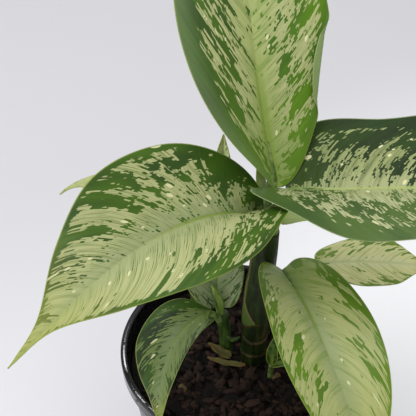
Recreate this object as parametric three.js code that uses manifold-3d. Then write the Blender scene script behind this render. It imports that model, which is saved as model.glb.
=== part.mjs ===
// A potted dieffenbachia: a black nursery pot of potting mix that holds a main stem with large
// leaves, a side shoot and a back shoot with small leaves, a plantlet and dry husks.
// Millimetres, +Z up. The origin is the middle of the pot's flat underside. -Y is the front.
import * as THREE from 'three';
import { mergeVertices } from 'three/addons/utils/BufferGeometryUtils.js';
import Module from 'manifold-3d';

const wasm = await Module();
wasm.setup();

// ---- driving dimensions ----
const GAP = 0.3;                 // clearance between neighbouring pieces
const BLADE = 0.8;               // thickness of a leaf blade
const BASE_FADE = 0.07;          // share of a leaf's length over which lobes and cup fade
const COLUMNS = [0, 0.09, 0.35, 0.65, 1];            // shares of the half width with an edge loop
const ROWS = { large: 16, middle: 11, small: 7, largeFrom: 100 };   // rows by the leaf's length
const STALK = { radii: [1.15, 1.05, 1, 0.9, 0.45], steps: 14, sides: 8 };  // shares of its radius
const DOME = 0.4;                // height of a rod's closed end as a share of its radius

const POT = {
  height: 118, rimRadius: 65, footRadius: 48.5, wall: 1.5, floor: 1.6,
  collarHeight: 9.5, collarStep: 3.2, lipWidth: 3.7, sides: 48,
  drainHoles: 8, drainRadius: 4.5, drainCircle: 34,
};

const SOIL = { top: 105, bumps: 1.1, rings: 9, spokes: 36 };
const CHIPS = {
  count: 34, seed: 7, reach: 52, stemClearance: 15, huskMiddle: [-3, -5], huskClearance: 17,
  least: [4, 2.5, 2], spread: [5, 3, 1.6], taper: 0.7, tilt: 0.7,
};

// Each leaf: where the blade meets its stalk, the heading and rise of the midrib and the roll
// of the blade in degrees at its base, middle and tip, its length, the half widths on both
// sides at seven stations, how far the halves fold up at the base and the tip in degrees, how
// much more the left and right halves cup round the stalk, how far the left and right basal
// lobes reach back as a share of the length, the height of the margin's waves as a share of
// the half width, and the points of the stalk. The top leaf's right margin turns over along a
// crease between two shares of the length.
const LEAVES = {
  leaf_top: {
    base: [19.3, 11.4, 226], heading: [109, 98, 90], rise: [55, 47, 44], roll: [-26, 4, 7],
    length: 203, left: [11, 29, 37.5, 38, 29, 15, 4], right: [11.5, 24.5, 38, 37, 29, 15, 4],
    fold: [26, 10], cup: [0, 0], lobes: [0, 0.015], wave: 0.03, colour: 0x5f8a35,
    stalk: [[13.2, 8.5, 194], [13.6, 10.8, 211]], stalkRadius: 2.9,
    crease: { from: 0.14, to: 0.42, turn: 150, bend: 1.3 },
  },
  leaf_left: {
    base: [12, 0, 217], heading: [213, 227, 221], rise: [40, 4, -28], roll: [-3, 14, -12],
    length: 161, left: [14.5, 29, 40, 38.5, 22.8, 4.4, 0.9],
    right: [14.5, 30, 40.5, 38, 22.5, 5.8, 1],
    fold: [38, 16], cup: [60, 24], lobes: [0.05, 0.03], wave: 0.05, colour: 0x6b9140,
    stalk: [[13.5, 4.5, 190], [13.5, 2.5, 206]], stalkRadius: 3,
  },
  leaf_right: {
    base: [24.5, 10.5, 226.5], heading: [-18, -25, 0], rise: [15, 20, -8], roll: [-1, -16, -2],
    length: 160, left: [18, 37, 37.2, 37.5, 29.5, 15, 4], right: [16, 32, 43, 35, 29, 15, 4],
    fold: [44, 9], cup: [-60, 5], lobes: [0.13, 0.13], wave: 0.03, colour: 0x4f7a3c,
    stalk: [[17.3, 5.5, 190], [19.3, 6, 208], [21.6, 8, 219]], stalkRadius: 3,
  },
  leaf_front: {
    base: [24, -1, 181], heading: [-69, -68, -65.5], rise: [10, -25, -50], roll: [14, 1.5, -4],
    length: 120, left: [10, 22, 27.5, 27, 22, 12.5, 3], right: [9, 22.5, 27, 27, 21.5, 12, 3],
    fold: [25, 15], cup: [0, 0], lobes: [0.07, 0.07], wave: 0.03, colour: 0x8fa860,
    stalk: [[15, 3, 148], [22, 0.5, 167]], stalkRadius: 2.6,
  },
  leaf_low_right: {
    base: [47, 30, 153], heading: [-1, -2, 4], rise: [11, 0, -15], roll: [-1, -12, -19],
    length: 64, left: [6.5, 12, 16, 17, 14.5, 7.5, 1.8], right: [6.5, 12.5, 16.5, 17, 14.5, 7, 1.7],
    fold: [9, 5], cup: [0, 0], lobes: [0.05, 0.05], wave: 0.04, colour: 0x9db36e,
    stalk: [[12, 5, 122], [26, 17, 145]], stalkRadius: 1.9,
  },
  leaf_low_left: {
    base: [-13.2, -3.3, 151], heading: [230, 248, 277], rise: [27, -2, -47], roll: [1, -27, -31],
    length: 79, left: [2.6, 10.5, 19, 20.5, 14, 7, 2.5], right: [5, 15.5, 21, 20.5, 14, 6, 2.3],
    fold: [26, 16], cup: [0, 0], lobes: [0, 0], wave: 0.03, colour: 0x6f9050,
    stalk: [[-7.6, 5.6, 131], [-11, 1.4, 142]], stalkRadius: 1.8,
  },
  leaf_shoot: {
    base: [-9.3, 8, 142.5], heading: [100, 92, 88], rise: [74, 77, 74], roll: [0, -4, -8],
    length: 52, left: [8, 13, 17.5, 18, 13, 5.5, 1.5], right: [7.5, 12, 14.5, 15, 11, 5.5, 1.5],
    fold: [30, 12], cup: [10, 10], lobes: [0.03, 0.03], wave: 0.03, colour: 0xa3b382,
    stalk: [[-7, 8, 131], [-8.2, 8.4, 137]], stalkRadius: 1.8,
  },
  leaf_back_left: {
    base: [-22, 27.5, 185], heading: [165, 161, 180], rise: [33, 8, -48], roll: [5, 5, 7],
    length: 87, left: [4.7, 9.6, 13, 12.4, 7, 2, 0.8], right: [4.7, 9.6, 13, 12.4, 6, 2.4, 0.8],
    fold: [20, 12], cup: [0, 0], lobes: [0.04, 0.04], wave: 0.03, colour: 0xa9b574,
    stalk: [[-23, 24.5, 138], [-22.5, 25.5, 165]], stalkRadius: 1.8,
  },
  leaf_back: {
    base: [-5.5, 23, 178], heading: [105, 92, 89], rise: [71, 70, 67], roll: [6, 5, 3],
    length: 62, left: [3.8, 7.6, 10, 10, 7.4, 4, 1.1], right: [3.8, 7.6, 10, 10, 7.2, 3.8, 1.1],
    fold: [40, 35], cup: [0, 0], lobes: [0, 0], wave: 0.02, colour: 0x8ea35e,
    stalk: [[-20.5, 25, 136], [-14, 25.5, 158]], stalkRadius: 1.6,
  },
};

// Thin pieces shaped like a leaf with no stalk: the sheath wings of the top and right stalks,
// the dry husks at the foot and the two blades of the plantlet.
const plain = { roll: [0, 0, 0], fold: [10, 6], cup: [0, 0], lobes: [0, 0], wave: 0 };
const WINGS = {
  leaf_top: {
    ...plain, base: [13.8, 11, 203], heading: [135, 135, 135], rise: [78, 81, 81], length: 36,
    left: [1.5, 2.2, 2.6, 2.6, 2.4, 1.8, 0.8], right: [3.2, 5.6, 6.6, 6.2, 4.6, 3, 1.2],
  },
  leaf_right: {
    ...plain, base: [21.5, 6.5, 211.5], heading: [-6, -6, -6], rise: [4, 2, 0], length: 19,
    roll: [76, 76, 76], left: [8.5, 9, 7.4, 5, 3, 1.6, 0.8], right: [7, 8, 6.6, 4.6, 2.8, 1.6, 0.8],
  },
};
const HUSKS = {
  husk_upper: {
    ...plain, base: [-1.6, -1.8, 109.6], heading: [166, 161, 158], rise: [24, 28, 28], length: 15.8,
    roll: [35, 35, 35], left: [1.6, 2.6, 3, 2.9, 2.2, 1.3, 0.6],
    right: [1.6, 2.6, 3, 2.9, 2.2, 1.3, 0.6], fold: [22, 18],
  },
  husk_lower: {
    ...plain, base: [6.8, -7.4, 109.4], heading: [172, 162, 156], rise: [-10, -4, 2], length: 23.5,
    roll: [30, 30, 30], left: [0.9, 1.4, 1.7, 1.8, 1.6, 1.1, 0.6],
    right: [0.9, 1.4, 1.7, 1.8, 1.6, 1.1, 0.6], fold: [16, 16],
  },
};
const PLANTLET = {
  path: [[20.5, -13.3, 88], [20.5, -13.3, 106], [20.8, -12.8, 117]],
  radii: [1.7, 1.7, 1.4], steps: 6, sides: 8,
  blades: [
    {
      ...plain, base: [20.9, -12.8, 116], heading: [80, 70, 60], rise: [80, 78, 66], length: 21,
      left: [1.6, 2.9, 3.6, 3.5, 2.6, 1.4, 0.6], right: [1.6, 2.9, 3.6, 3.5, 2.6, 1.4, 0.6],
      fold: [25, 20],
    },
    {
      ...plain, base: [21, -12.8, 115], heading: [4, 10, 16], rise: [34, 2, -30], length: 16,
      left: [1.6, 2.9, 3.5, 3.4, 2.6, 1.4, 0.6], right: [1.6, 2.9, 3.5, 3.4, 2.6, 1.4, 0.6],
      fold: [20, 15],
    },
  ],
};

// The stems: points of the middle line and radii spread evenly along it, the node rings as
// heights with a rise, and the old sheath that wraps the main stem between two heights.
const MAIN_STEM = {
  path: [[11, 1, 86], [11, 1, 108], [11.7, 3, 128], [13, 5, 160], [14.8, 6, 186], [15.5, 6.5, 202]],
  radii: [7, 7.2, 7.3, 7.2, 7.3, 7.3, 7.2, 7, 6.6], steps: 16, sides: 14,
  rings: [113, 123.5], ringRise: 0.6, ringHalf: 1.2,
};
const SHEATH = { from: 137, to: 168, radii: [8.3, 8.2, 7.3] };
const SIDE_STEM = {
  path: [[-4.2, 5, 88], [-4.3, 5, 106], [-5.2, 6, 122], [-7.2, 8, 137.5]],
  radii: [4.3, 4.2, 3.4, 3.9], steps: 8, sides: 12,
};
const COLLAR = {
  path: [[-4.5, 3.6, 122.5], [-1, 1.6, 120.5], [3.4, 1.2, 123.5]],
  radii: [1.1, 1.4, 1.1], steps: 6, sides: 8,
};
const BACK_STEM = {
  path: [[-22, 24, 88], [-22, 24, 106], [-22, 24.5, 143]],
  radii: [3.6, 3.4, 3], steps: 6, sides: 10,
};
const ROLLED_LEAF = {
  path: [[-7.6, 4, 140.4], [-8, 5.2, 148], [-10, 6, 154], [-12.8, 6.4, 161]],
  radii: [1.3, 1.9, 2, 1.6, 0.5], steps: 8, sides: 8,
};

// ---- small helpers ----
const rad = (degrees) => (degrees * Math.PI) / 180;
const clamp = (x, low, high) => Math.min(Math.max(x, low), high);
const vec = (p) => new THREE.Vector3(p[0], p[1], p[2]);

// A value given at the base, the middle and the tip, read at a share t of the length.
const alongLeaf = (v, t) => v[0] * (1 - t) * (1 - 2 * t) + v[1] * 4 * t * (1 - t) + v[2] * t * (2 * t - 1);

// A repeatable random draw between 0 and 1.
function randomDraw(seed) {
  let state = seed;
  return () => {
    state = (state * 1664525 + 1013904223) % 4294967296;
    return state / 4294967296;
  };
}

function makeGeometry(points, triangles) {
  const geometry = new THREE.BufferGeometry();
  geometry.setAttribute('position', new THREE.Float32BufferAttribute(points.flat(), 3));
  geometry.setIndex(triangles.flat());
  return geometry;
}

function toSolid(geometry) {
  const bare = geometry.clone();
  bare.deleteAttribute('normal');
  bare.deleteAttribute('uv');
  const merged = mergeVertices(bare, 1e-4);
  return new wasm.Manifold(new wasm.Mesh({
    numProp: 3,
    vertProperties: new Float32Array(merged.attributes.position.array),
    triVerts: new Uint32Array(merged.index.array),
  }));
}

function toGeometry(solid) {
  const mesh = solid.getMesh();
  const geometry = new THREE.BufferGeometry();
  geometry.setAttribute('position', new THREE.BufferAttribute(mesh.vertProperties, 3));
  geometry.setIndex(new THREE.BufferAttribute(mesh.triVerts, 1));
  geometry.computeVertexNormals();
  return geometry;
}

const joinAll = (solids) => solids.reduce((sum, solid) => sum.add(solid));

// The largest body of a solid that a cut has split.
function largestBody(solid) {
  const bodies = solid.decompose();
  bodies.sort((a, b) => b.volume() - a.volume());
  return bodies[0];
}

// A closed shell between two grids of points that share their rows and columns. Both faces
// are split along the same diagonal, so a waved blade stays as thick as its two faces are apart.
function shellBetween(upper, lower) {
  const rows = upper.length;
  const columns = upper[0].length;
  const points = [...upper.flat(), ...lower.flat()];
  const top = (i, j) => i * columns + j;
  const under = (i, j) => rows * columns + i * columns + j;
  const triangles = [];
  for (let i = 0; i < rows - 1; i++) {
    for (let j = 0; j < columns - 1; j++) {
      triangles.push([top(i, j), top(i, j + 1), top(i + 1, j + 1)]);
      triangles.push([top(i, j), top(i + 1, j + 1), top(i + 1, j)]);
      triangles.push([under(i, j), under(i + 1, j + 1), under(i, j + 1)]);
      triangles.push([under(i, j), under(i + 1, j), under(i + 1, j + 1)]);
    }
  }
  for (let j = 0; j < columns - 1; j++) {
    triangles.push([top(0, j), under(0, j), under(0, j + 1)], [top(0, j), under(0, j + 1), top(0, j + 1)]);
    const last = rows - 1;
    triangles.push([top(last, j), top(last, j + 1), under(last, j + 1)]);
    triangles.push([top(last, j), under(last, j + 1), under(last, j)]);
  }
  for (let i = 0; i < rows - 1; i++) {
    triangles.push([top(i, 0), top(i + 1, 0), under(i + 1, 0)], [top(i, 0), under(i + 1, 0), under(i, 0)]);
    const last = columns - 1;
    triangles.push([top(i, last), under(i + 1, last), top(i + 1, last)]);
    triangles.push([top(i, last), under(i, last), under(i + 1, last)]);
  }
  return makeGeometry(points, triangles);
}

// A round rod along a smooth curve through the given points, its radius read from a list of
// values spread evenly along it, with both ends closed by a short dome. All of its surface
// can be moved out by an extra distance.
function rod(path, radii, steps, sides, extra) {
  const curve = new THREE.CatmullRomCurve3(path.map(vec), false, 'centripetal');
  const frames = curve.computeFrenetFrames(steps, false);
  const points = [];
  const radiusAt = (u) => {
    const place = u * (radii.length - 1);
    const k = Math.min(Math.floor(place), radii.length - 2);
    return radii[k] + (radii[k + 1] - radii[k]) * (place - k) + extra;
  };
  for (let i = 0; i <= steps; i++) {
    const u = i / steps;
    const centre = curve.getPointAt(u);
    if (i === 0) centre.addScaledVector(frames.tangents[0], -extra);
    if (i === steps) centre.addScaledVector(frames.tangents[steps], extra);
    for (let j = 0; j < sides; j++) {
      const angle = (2 * Math.PI * j) / sides;
      const side = frames.normals[i].clone().multiplyScalar(Math.cos(angle));
      side.addScaledVector(frames.binormals[i], Math.sin(angle));
      points.push(centre.clone().addScaledVector(side, radiusAt(u)).toArray());
    }
  }
  const startTip = curve.getPointAt(0).addScaledVector(frames.tangents[0], -radii[0] * DOME - extra);
  const endTip = curve.getPointAt(1).addScaledVector(frames.tangents[steps], radii.at(-1) * DOME + extra);
  points.push(startTip.toArray(), endTip.toArray());
  const first = points.length - 2;
  const triangles = [];
  for (let i = 0; i < steps; i++) {
    for (let j = 0; j < sides; j++) {
      const k = (j + 1) % sides;
      const a = i * sides;
      const b = a + sides;
      triangles.push([a + j, a + k, b + k], [a + j, b + k, b + j]);
    }
  }
  for (let j = 0; j < sides; j++) {
    const k = (j + 1) % sides;
    triangles.push([first, k, j], [first + 1, steps * sides + j, steps * sides + k]);
  }
  return makeGeometry(points, triangles);
}

// ---- leaves ----
// The half width at station angle a, where the share of the length is (1 - cos a) / 2, by a
// smooth curve through the seven values that starts round at the base and ends at the tip.
function halfWidth(values, t) {
  const list = [-values[0], 0, ...values, 0, values[values.length - 1] * 0.6];
  const spans = values.length + 1;
  const place = (Math.acos(clamp(1 - 2 * t, -1, 1)) / Math.PI) * spans;
  const i = clamp(Math.floor(place), 0, spans - 1);
  const u = place - i;
  const [a, b, c, d] = list.slice(i, i + 4);
  const cubic = 2 * b + (c - a) * u + (2 * a - 5 * b + 4 * c - d) * u * u
    + (3 * b - a - 3 * c + d) * u * u * u;
  return Math.max(cubic / 2, 0.5);
}

// The unit vector along the midrib.
function midribDirection(leaf, t) {
  const heading = rad(alongLeaf(leaf.heading, t));
  const rise = rad(alongLeaf(leaf.rise, t));
  return new THREE.Vector3(
    Math.cos(heading) * Math.cos(rise), Math.sin(heading) * Math.cos(rise), Math.sin(rise));
}

// The point, side and face directions of the midrib at a share t of the length.
function midribFrame(leaf, t) {
  const parts = 80;
  const point = vec(leaf.base);
  for (let k = 0; k < parts; k++) {
    point.addScaledVector(midribDirection(leaf, (t * (k + 0.5)) / parts), (leaf.length * t) / parts);
  }
  const along = midribDirection(leaf, t);
  const heading = rad(alongLeaf(leaf.heading, t));
  const roll = rad(alongLeaf(leaf.roll, t));
  const level = new THREE.Vector3(Math.sin(heading), -Math.cos(heading), 0);
  const face = level.clone().cross(along);
  const side = level.clone().multiplyScalar(Math.cos(roll)).addScaledVector(face, Math.sin(roll));
  const normal = face.multiplyScalar(Math.cos(roll)).addScaledVector(level, -Math.sin(roll));
  return { point, along, side, normal };
}

// Where the blade's margin turns over along a straight crease, the width outside the crease.
function turnedWidth(leaf, t, width) {
  const crease = leaf.crease;
  if (!crease || t <= crease.from || t >= crease.to) return 0;
  const start = halfWidth(leaf.right, crease.from);
  const end = halfWidth(leaf.right, crease.to);
  const chord = start + ((end - start) * (t - crease.from)) / (crease.to - crease.from);
  return Math.max(width - chord, 0);
}

// A point on the blade's middle surface: the section starts at the midrib and goes out with a
// slope that is the fold, plus the turn past a crease, and the margin waves along the length.
function bladePoint(leaf, frame, t, share, sign) {
  const width = halfWidth(sign > 0 ? leaf.right : leaf.left, t);
  const [baseFold, tipFold] = leaf.fold;
  const cup = leaf.cup[sign > 0 ? 1 : 0];
  const fold = rad(tipFold + (baseFold - tipFold) * (1 - t) ** 3 + cup * Math.exp(-t / BASE_FADE));
  const turned = sign > 0 ? turnedWidth(leaf, t, width) : 0;
  const arc = leaf.crease ? leaf.crease.bend * rad(leaf.crease.turn) : 1;
  const parts = 60;
  let out = 0;
  let up = 0;
  for (let k = 0; k < parts; k++) {
    const reach = (share * width * (k + 0.5)) / parts;
    let slope = fold;
    if (turned > 0) {
      const bent = clamp((reach - (width - turned)) / arc + 0.5, 0, 1) * clamp(turned / arc, 0, 1);
      slope += rad(leaf.crease.turn) * bent;
    }
    out += (Math.cos(slope) * share * width) / parts;
    up += (Math.sin(slope) * share * width) / parts;
  }
  const phase = sign > 0 ? 0 : 1.3;
  up += leaf.wave * width * share ** 2.5 * Math.sin(4 * Math.PI * t + phase);
  const lobe = leaf.lobes[sign > 0 ? 1 : 0];
  const backShare = (t / BASE_FADE) * Math.exp(1 - t / BASE_FADE);
  const back = -lobe * leaf.length * backShare * share ** 1.6;
  return frame.point.clone().addScaledVector(frame.along, back)
    .addScaledVector(frame.side, sign * out).addScaledVector(frame.normal, up);
}

// The closed blade: rows across the midrib, closer at both ends, with the rib raised below.
function bladeSolid(leaf, rows) {
  const middle = [];
  const columns = [];
  for (let i = 0; i <= rows; i++) {
    const t = clamp((1 - Math.cos((Math.PI * i) / rows)) / 2, 0.006, 0.992);
    const frame = midribFrame(leaf, t);
    const width = halfWidth(leaf.right, t);
    const creaseShare = Math.min(1 - turnedWidth(leaf, t, width) / width, 0.92);
    const rightShares = leaf.crease
      ? [0, COLUMNS[1], 0.35 * creaseShare, 0.75 * creaseShare, creaseShare - 0.03, creaseShare,
        creaseShare + 0.03, 1]
      : COLUMNS;
    const row = [];
    for (let j = COLUMNS.length - 1; j > 0; j--) row.push(bladePoint(leaf, frame, t, COLUMNS[j], -1));
    for (const share of rightShares) row.push(bladePoint(leaf, frame, t, share, 1));
    middle.push(row);
    const across = [...COLUMNS.slice(1).reverse(), ...rightShares];
    columns.push(across.map((share) => (share === 0 ? ribDepth(leaf, t) : 0)));
  }
  const upper = [];
  const lower = [];
  for (let i = 0; i <= rows; i++) {
    const last = middle[i].length - 1;
    const upperRow = [];
    const lowerRow = [];
    for (let j = 0; j <= last; j++) {
      const alongStep = middle[Math.min(i + 1, rows)][j].clone().sub(middle[Math.max(i - 1, 0)][j]);
      const acrossStep = middle[i][Math.min(j + 1, last)].clone().sub(middle[i][Math.max(j - 1, 0)]);
      const normal = acrossStep.cross(alongStep).normalize();
      upperRow.push(middle[i][j].clone().addScaledVector(normal, BLADE / 2).toArray());
      lowerRow.push(middle[i][j].clone().addScaledVector(normal, -BLADE / 2 - columns[i][j]).toArray());
    }
    upper.push(upperRow);
    lower.push(lowerRow);
  }
  return toSolid(shellBetween(upper, lower));
}

const ribDepth = (leaf, t) => (leaf.stalkRadius ? leaf.stalkRadius * 0.75 * (1 - t) ** 1.2 : 0);

// The stalk runs from inside the stem through its own points to the blade's base, and a little
// way on under the midrib, where it fades into the rib.
function stalkSolid(leaf, extra) {
  const under = (t, share) => {
    const frame = midribFrame(leaf, t);
    return frame.point.addScaledVector(frame.normal, -leaf.stalkRadius * share).toArray();
  };
  const path = [...leaf.stalk, under(0.012, 0.75), under(0.06, 0.5), under(0.12, 0.35)];
  const radii = STALK.radii.map((share) => share * leaf.stalkRadius);
  return toSolid(rod(path, radii, STALK.steps, STALK.sides, extra));
}

// ---- pot ----
// The outline of the pot's wall from the middle of the underside, out and up over the rolled
// rim, and down inside to the middle of the floor.
function potSolid() {
  const { height, rimRadius, footRadius, wall, floor, collarHeight, collarStep, lipWidth } = POT;
  const wallTop = height - collarHeight;
  const neck = rimRadius - collarStep - 0.4;
  const outline = [
    [0, 0], [footRadius - 1.2, 0], [footRadius, 1.2], [neck, wallTop],
    [rimRadius - 1, wallTop + 0.6], [rimRadius - 0.4, wallTop + 2], [rimRadius, height - 2],
    [rimRadius - 0.5, height - 0.6], [rimRadius - 1.6, height],
    [rimRadius - lipWidth + 1, height], [rimRadius - lipWidth, height - 0.7],
    [rimRadius - lipWidth, height - 2.4], [neck - wall, wallTop - 1],
    [footRadius - wall, floor + 0.6], [footRadius - wall - 0.6, floor], [0, floor],
  ];
  const lathe = new THREE.LatheGeometry(outline.map((p) => new THREE.Vector2(p[0], p[1])), POT.sides);
  lathe.rotateX(Math.PI / 2);
  let solid = toSolid(lathe);
  for (let k = 0; k < POT.drainHoles; k++) {
    const angle = (2 * Math.PI * (k + 0.5)) / POT.drainHoles;
    const hole = new THREE.CylinderGeometry(POT.drainRadius, POT.drainRadius, 10, 10);
    hole.rotateX(Math.PI / 2);
    hole.translate(POT.drainCircle * Math.cos(angle), POT.drainCircle * Math.sin(angle), 0);
    solid = solid.subtract(toSolid(hole));
  }
  return solid;
}

// ---- soil ----
// The radius of the soil at a height: the pot's inner wall less the clearance.
function soilRadius(z) {
  const top = POT.height - POT.collarHeight - 1;
  const low = POT.floor + 0.6;
  const inner = POT.footRadius - POT.wall;
  const neck = POT.rimRadius - POT.collarStep - 0.4 - POT.wall;
  return inner + ((neck - inner) * (z - low)) / (top - low) - GAP / Math.cos(Math.PI / POT.sides) - 0.1;
}

// The soil's surface: low waves of three lengths that fade to the pot's wall.
function soilHeight(x, y) {
  const waves = Math.sin(x * 0.19 + 1.1) * Math.cos(y * 0.23 + 0.4)
    + 0.6 * Math.sin(x * 0.41 - y * 0.33) + 0.4 * Math.cos(x * 0.27 + y * 0.52 + 2);
  return SOIL.top + SOIL.bumps * waves;
}

function soilSolid() {
  const points = [];
  const triangles = [];
  const { rings, spokes } = SOIL;
  points.push([0, 0, soilHeight(0, 0)]);
  for (let i = 1; i <= rings; i++) {
    for (let j = 0; j < spokes; j++) {
      const angle = (2 * Math.PI * (j + 0.5 * (i % 2))) / spokes;
      const radius = (soilRadius(SOIL.top) * i) / rings;
      const x = radius * Math.cos(angle);
      const y = radius * Math.sin(angle);
      const z = i === rings ? SOIL.top : soilHeight(x, y);
      points.push([x, y, z]);
    }
  }
  const low = POT.floor + GAP + 0.1;
  for (let j = 0; j < spokes; j++) {
    const angle = (2 * Math.PI * (j + 0.5 * (rings % 2))) / spokes;
    const radius = soilRadius(low + 0.6) - 0.6;
    points.push([radius * Math.cos(angle), radius * Math.sin(angle), low]);
  }
  points.push([0, 0, low]);
  const at = (i, j) => 1 + (i - 1) * spokes + (j % spokes);
  for (let j = 0; j < spokes; j++) {
    triangles.push([0, at(1, j), at(1, j + 1)]);
    triangles.push([at(rings + 1, j + 1), at(rings + 1, j), points.length - 1]);
    triangles.push([at(rings, j), at(rings + 1, j), at(rings + 1, j + 1)]);
    triangles.push([at(rings, j), at(rings + 1, j + 1), at(rings, j + 1)]);
    for (let i = 1; i < rings; i++) {
      const shift = i % 2;
      triangles.push([at(i, j), at(i + 1, j + shift), at(i + 1, j + 1 + shift)]);
      triangles.push([at(i, j), at(i + 1, j + 1 + shift), at(i, j + 1)]);
    }
  }
  return toSolid(makeGeometry(points, triangles));
}

// Chips of bark lie half sunk in the soil: low blocks with slanted ends, turned at random.
function barkChips() {
  const draw = randomDraw(CHIPS.seed);
  const chips = [];
  while (chips.length < CHIPS.count) {
    const angle = draw() * 2 * Math.PI;
    const radius = Math.sqrt(draw()) * CHIPS.reach;
    const [sizeX, sizeY, sizeZ] = CHIPS.least.map((least, k) => least + CHIPS.spread[k] * draw());
    const chip = new THREE.BoxGeometry(sizeX, sizeY, sizeZ);
    const place = chip.attributes.position;
    for (let k = 0; k < place.count; k++) {
      if (place.getZ(k) > 0) place.setX(k, place.getX(k) * CHIPS.taper);
    }
    chip.rotateX((draw() - 0.5) * CHIPS.tilt);
    chip.rotateY((draw() - 0.5) * CHIPS.tilt);
    chip.rotateZ(draw() * Math.PI);
    const x = radius * Math.cos(angle);
    const y = radius * Math.sin(angle);
    chip.translate(x, y, soilHeight(x, y) + 0.1);
    const clear = [MAIN_STEM, SIDE_STEM, BACK_STEM, PLANTLET].map((stem) => stem.path[1])
      .every((p) => Math.hypot(p[0] - x, p[1] - y) > CHIPS.stemClearance);
    const toHusks = Math.hypot(x - CHIPS.huskMiddle[0], y - CHIPS.huskMiddle[1]);
    if (clear && toHusks > CHIPS.huskClearance) chips.push(toSolid(chip));
  }
  return joinAll(chips);
}

// ---- stems ----
// Every stem is made twice: once as itself, and once larger by the clearance as the cutter for
// what stands against it or holds it.
function rodSolid(spec, extra) {
  return toSolid(rod(spec.path, spec.radii, spec.steps, spec.sides, extra));
}

// A band round the main stem between two heights, as a short rod on the stem's middle line.
function stemBand(radii, lowZ, highZ, extra) {
  const curve = new THREE.CatmullRomCurve3(MAIN_STEM.path.map(vec), false, 'centripetal');
  const pointAt = (z) => {
    let low = 0;
    let high = 1;
    for (let k = 0; k < 30; k++) {
      const middle = (low + high) / 2;
      if (curve.getPoint(middle).z < z) low = middle;
      else high = middle;
    }
    return curve.getPoint(low).toArray();
  };
  const path = [lowZ, (lowZ + highZ) / 2, highZ].map(pointAt);
  return rodSolid({ path, radii, steps: 3, sides: MAIN_STEM.sides }, extra);
}

function mainStem(extra) {
  const { radii, rings, ringRise, ringHalf } = MAIN_STEM;
  const edge = radii[0] + ringRise;
  const bands = rings.map((z) => stemBand(
    [edge, edge + ringRise, edge], z - ringHalf, z + ringHalf, extra));
  const sheath = stemBand(SHEATH.radii, SHEATH.from, SHEATH.to, extra);
  return joinAll([rodSolid(MAIN_STEM, extra), sheath, ...bands]);
}

// ---- assembly ----
const mainCutter = mainStem(GAP);
const sideCutter = rodSolid(SIDE_STEM, GAP).add(rodSolid(COLLAR, GAP));
const backCutter = rodSolid(BACK_STEM, GAP);
const stalkCutters = {};
const pieces = {};

pieces.pot = { solid: potSolid(), colour: 0x1c1d1f, roughness: 0.35 };
pieces.stem_main = { solid: mainStem(0), colour: 0x31461d, roughness: 0.5 };
pieces.stem_side = {
  solid: largestBody(rodSolid(SIDE_STEM, 0).add(rodSolid(COLLAR, 0)).subtract(mainCutter)),
  colour: 0x3c5a22, roughness: 0.5,
};
pieces.stem_back = { solid: rodSolid(BACK_STEM, 0), colour: 0x3c5a22, roughness: 0.5 };
pieces.plantlet = {
  solid: joinAll([rodSolid(PLANTLET, 0),
    ...PLANTLET.blades.map((blade) => bladeSolid(blade, ROWS.small))]),
  colour: 0x4c7a34, roughness: 0.45,
};
pieces.soil = {
  solid: largestBody(soilSolid().add(barkChips())
    .subtract(mainCutter).subtract(sideCutter).subtract(backCutter)
    .subtract(rodSolid(PLANTLET, GAP))),
  colour: 0x2a201a, roughness: 0.95,
};
for (const [name, leaf] of Object.entries(LEAVES)) {
  const rows = leaf.length > ROWS.largeFrom ? ROWS.large : ROWS.middle;
  let solid = bladeSolid(leaf, rows).add(stalkSolid(leaf, 0));
  if (WINGS[name]) solid = solid.add(bladeSolid(WINGS[name], ROWS.small));
  for (const cutter of [mainCutter, sideCutter, backCutter, ...Object.values(stalkCutters)]) {
    solid = solid.subtract(cutter);
  }
  pieces[name] = { solid: largestBody(solid), colour: leaf.colour, roughness: 0.4 };
  stalkCutters[name] = stalkSolid(leaf, GAP);
}
pieces.leaf_rolled = {
  solid: largestBody(rodSolid(ROLLED_LEAF, 0).subtract(sideCutter).subtract(stalkCutters.leaf_low_left)
    .subtract(stalkCutters.leaf_shoot)),
  colour: 0x8da951, roughness: 0.45,
};
for (const [name, husk] of Object.entries(HUSKS)) {
  const solid = largestBody(bladeSolid(husk, ROWS.small).subtract(mainCutter).subtract(sideCutter));
  pieces[name] = { solid, colour: 0xa08a5a, roughness: 0.8 };
}

const plant = new THREE.Group();
for (const [name, { solid, colour, roughness }] of Object.entries(pieces)) {
  const material = new THREE.MeshStandardMaterial({ color: colour, roughness, metalness: 0 });
  const mesh = new THREE.Mesh(toGeometry(solid), material);
  mesh.name = name;
  plant.add(mesh);
}

export default plant;
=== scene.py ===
import math

import bpy
import numpy as np
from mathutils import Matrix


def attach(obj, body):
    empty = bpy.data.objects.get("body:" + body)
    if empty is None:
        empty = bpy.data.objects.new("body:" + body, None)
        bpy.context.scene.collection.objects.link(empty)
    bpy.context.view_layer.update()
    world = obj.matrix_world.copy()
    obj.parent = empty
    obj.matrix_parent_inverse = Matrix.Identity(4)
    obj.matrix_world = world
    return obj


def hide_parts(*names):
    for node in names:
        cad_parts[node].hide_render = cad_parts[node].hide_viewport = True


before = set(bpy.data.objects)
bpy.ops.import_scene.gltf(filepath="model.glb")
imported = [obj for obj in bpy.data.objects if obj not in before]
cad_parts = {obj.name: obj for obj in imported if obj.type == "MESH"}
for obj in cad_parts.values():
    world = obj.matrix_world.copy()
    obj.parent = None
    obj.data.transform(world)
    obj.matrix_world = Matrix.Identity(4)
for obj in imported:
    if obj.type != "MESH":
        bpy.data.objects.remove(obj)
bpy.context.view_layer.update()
scene = bpy.context.scene

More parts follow.
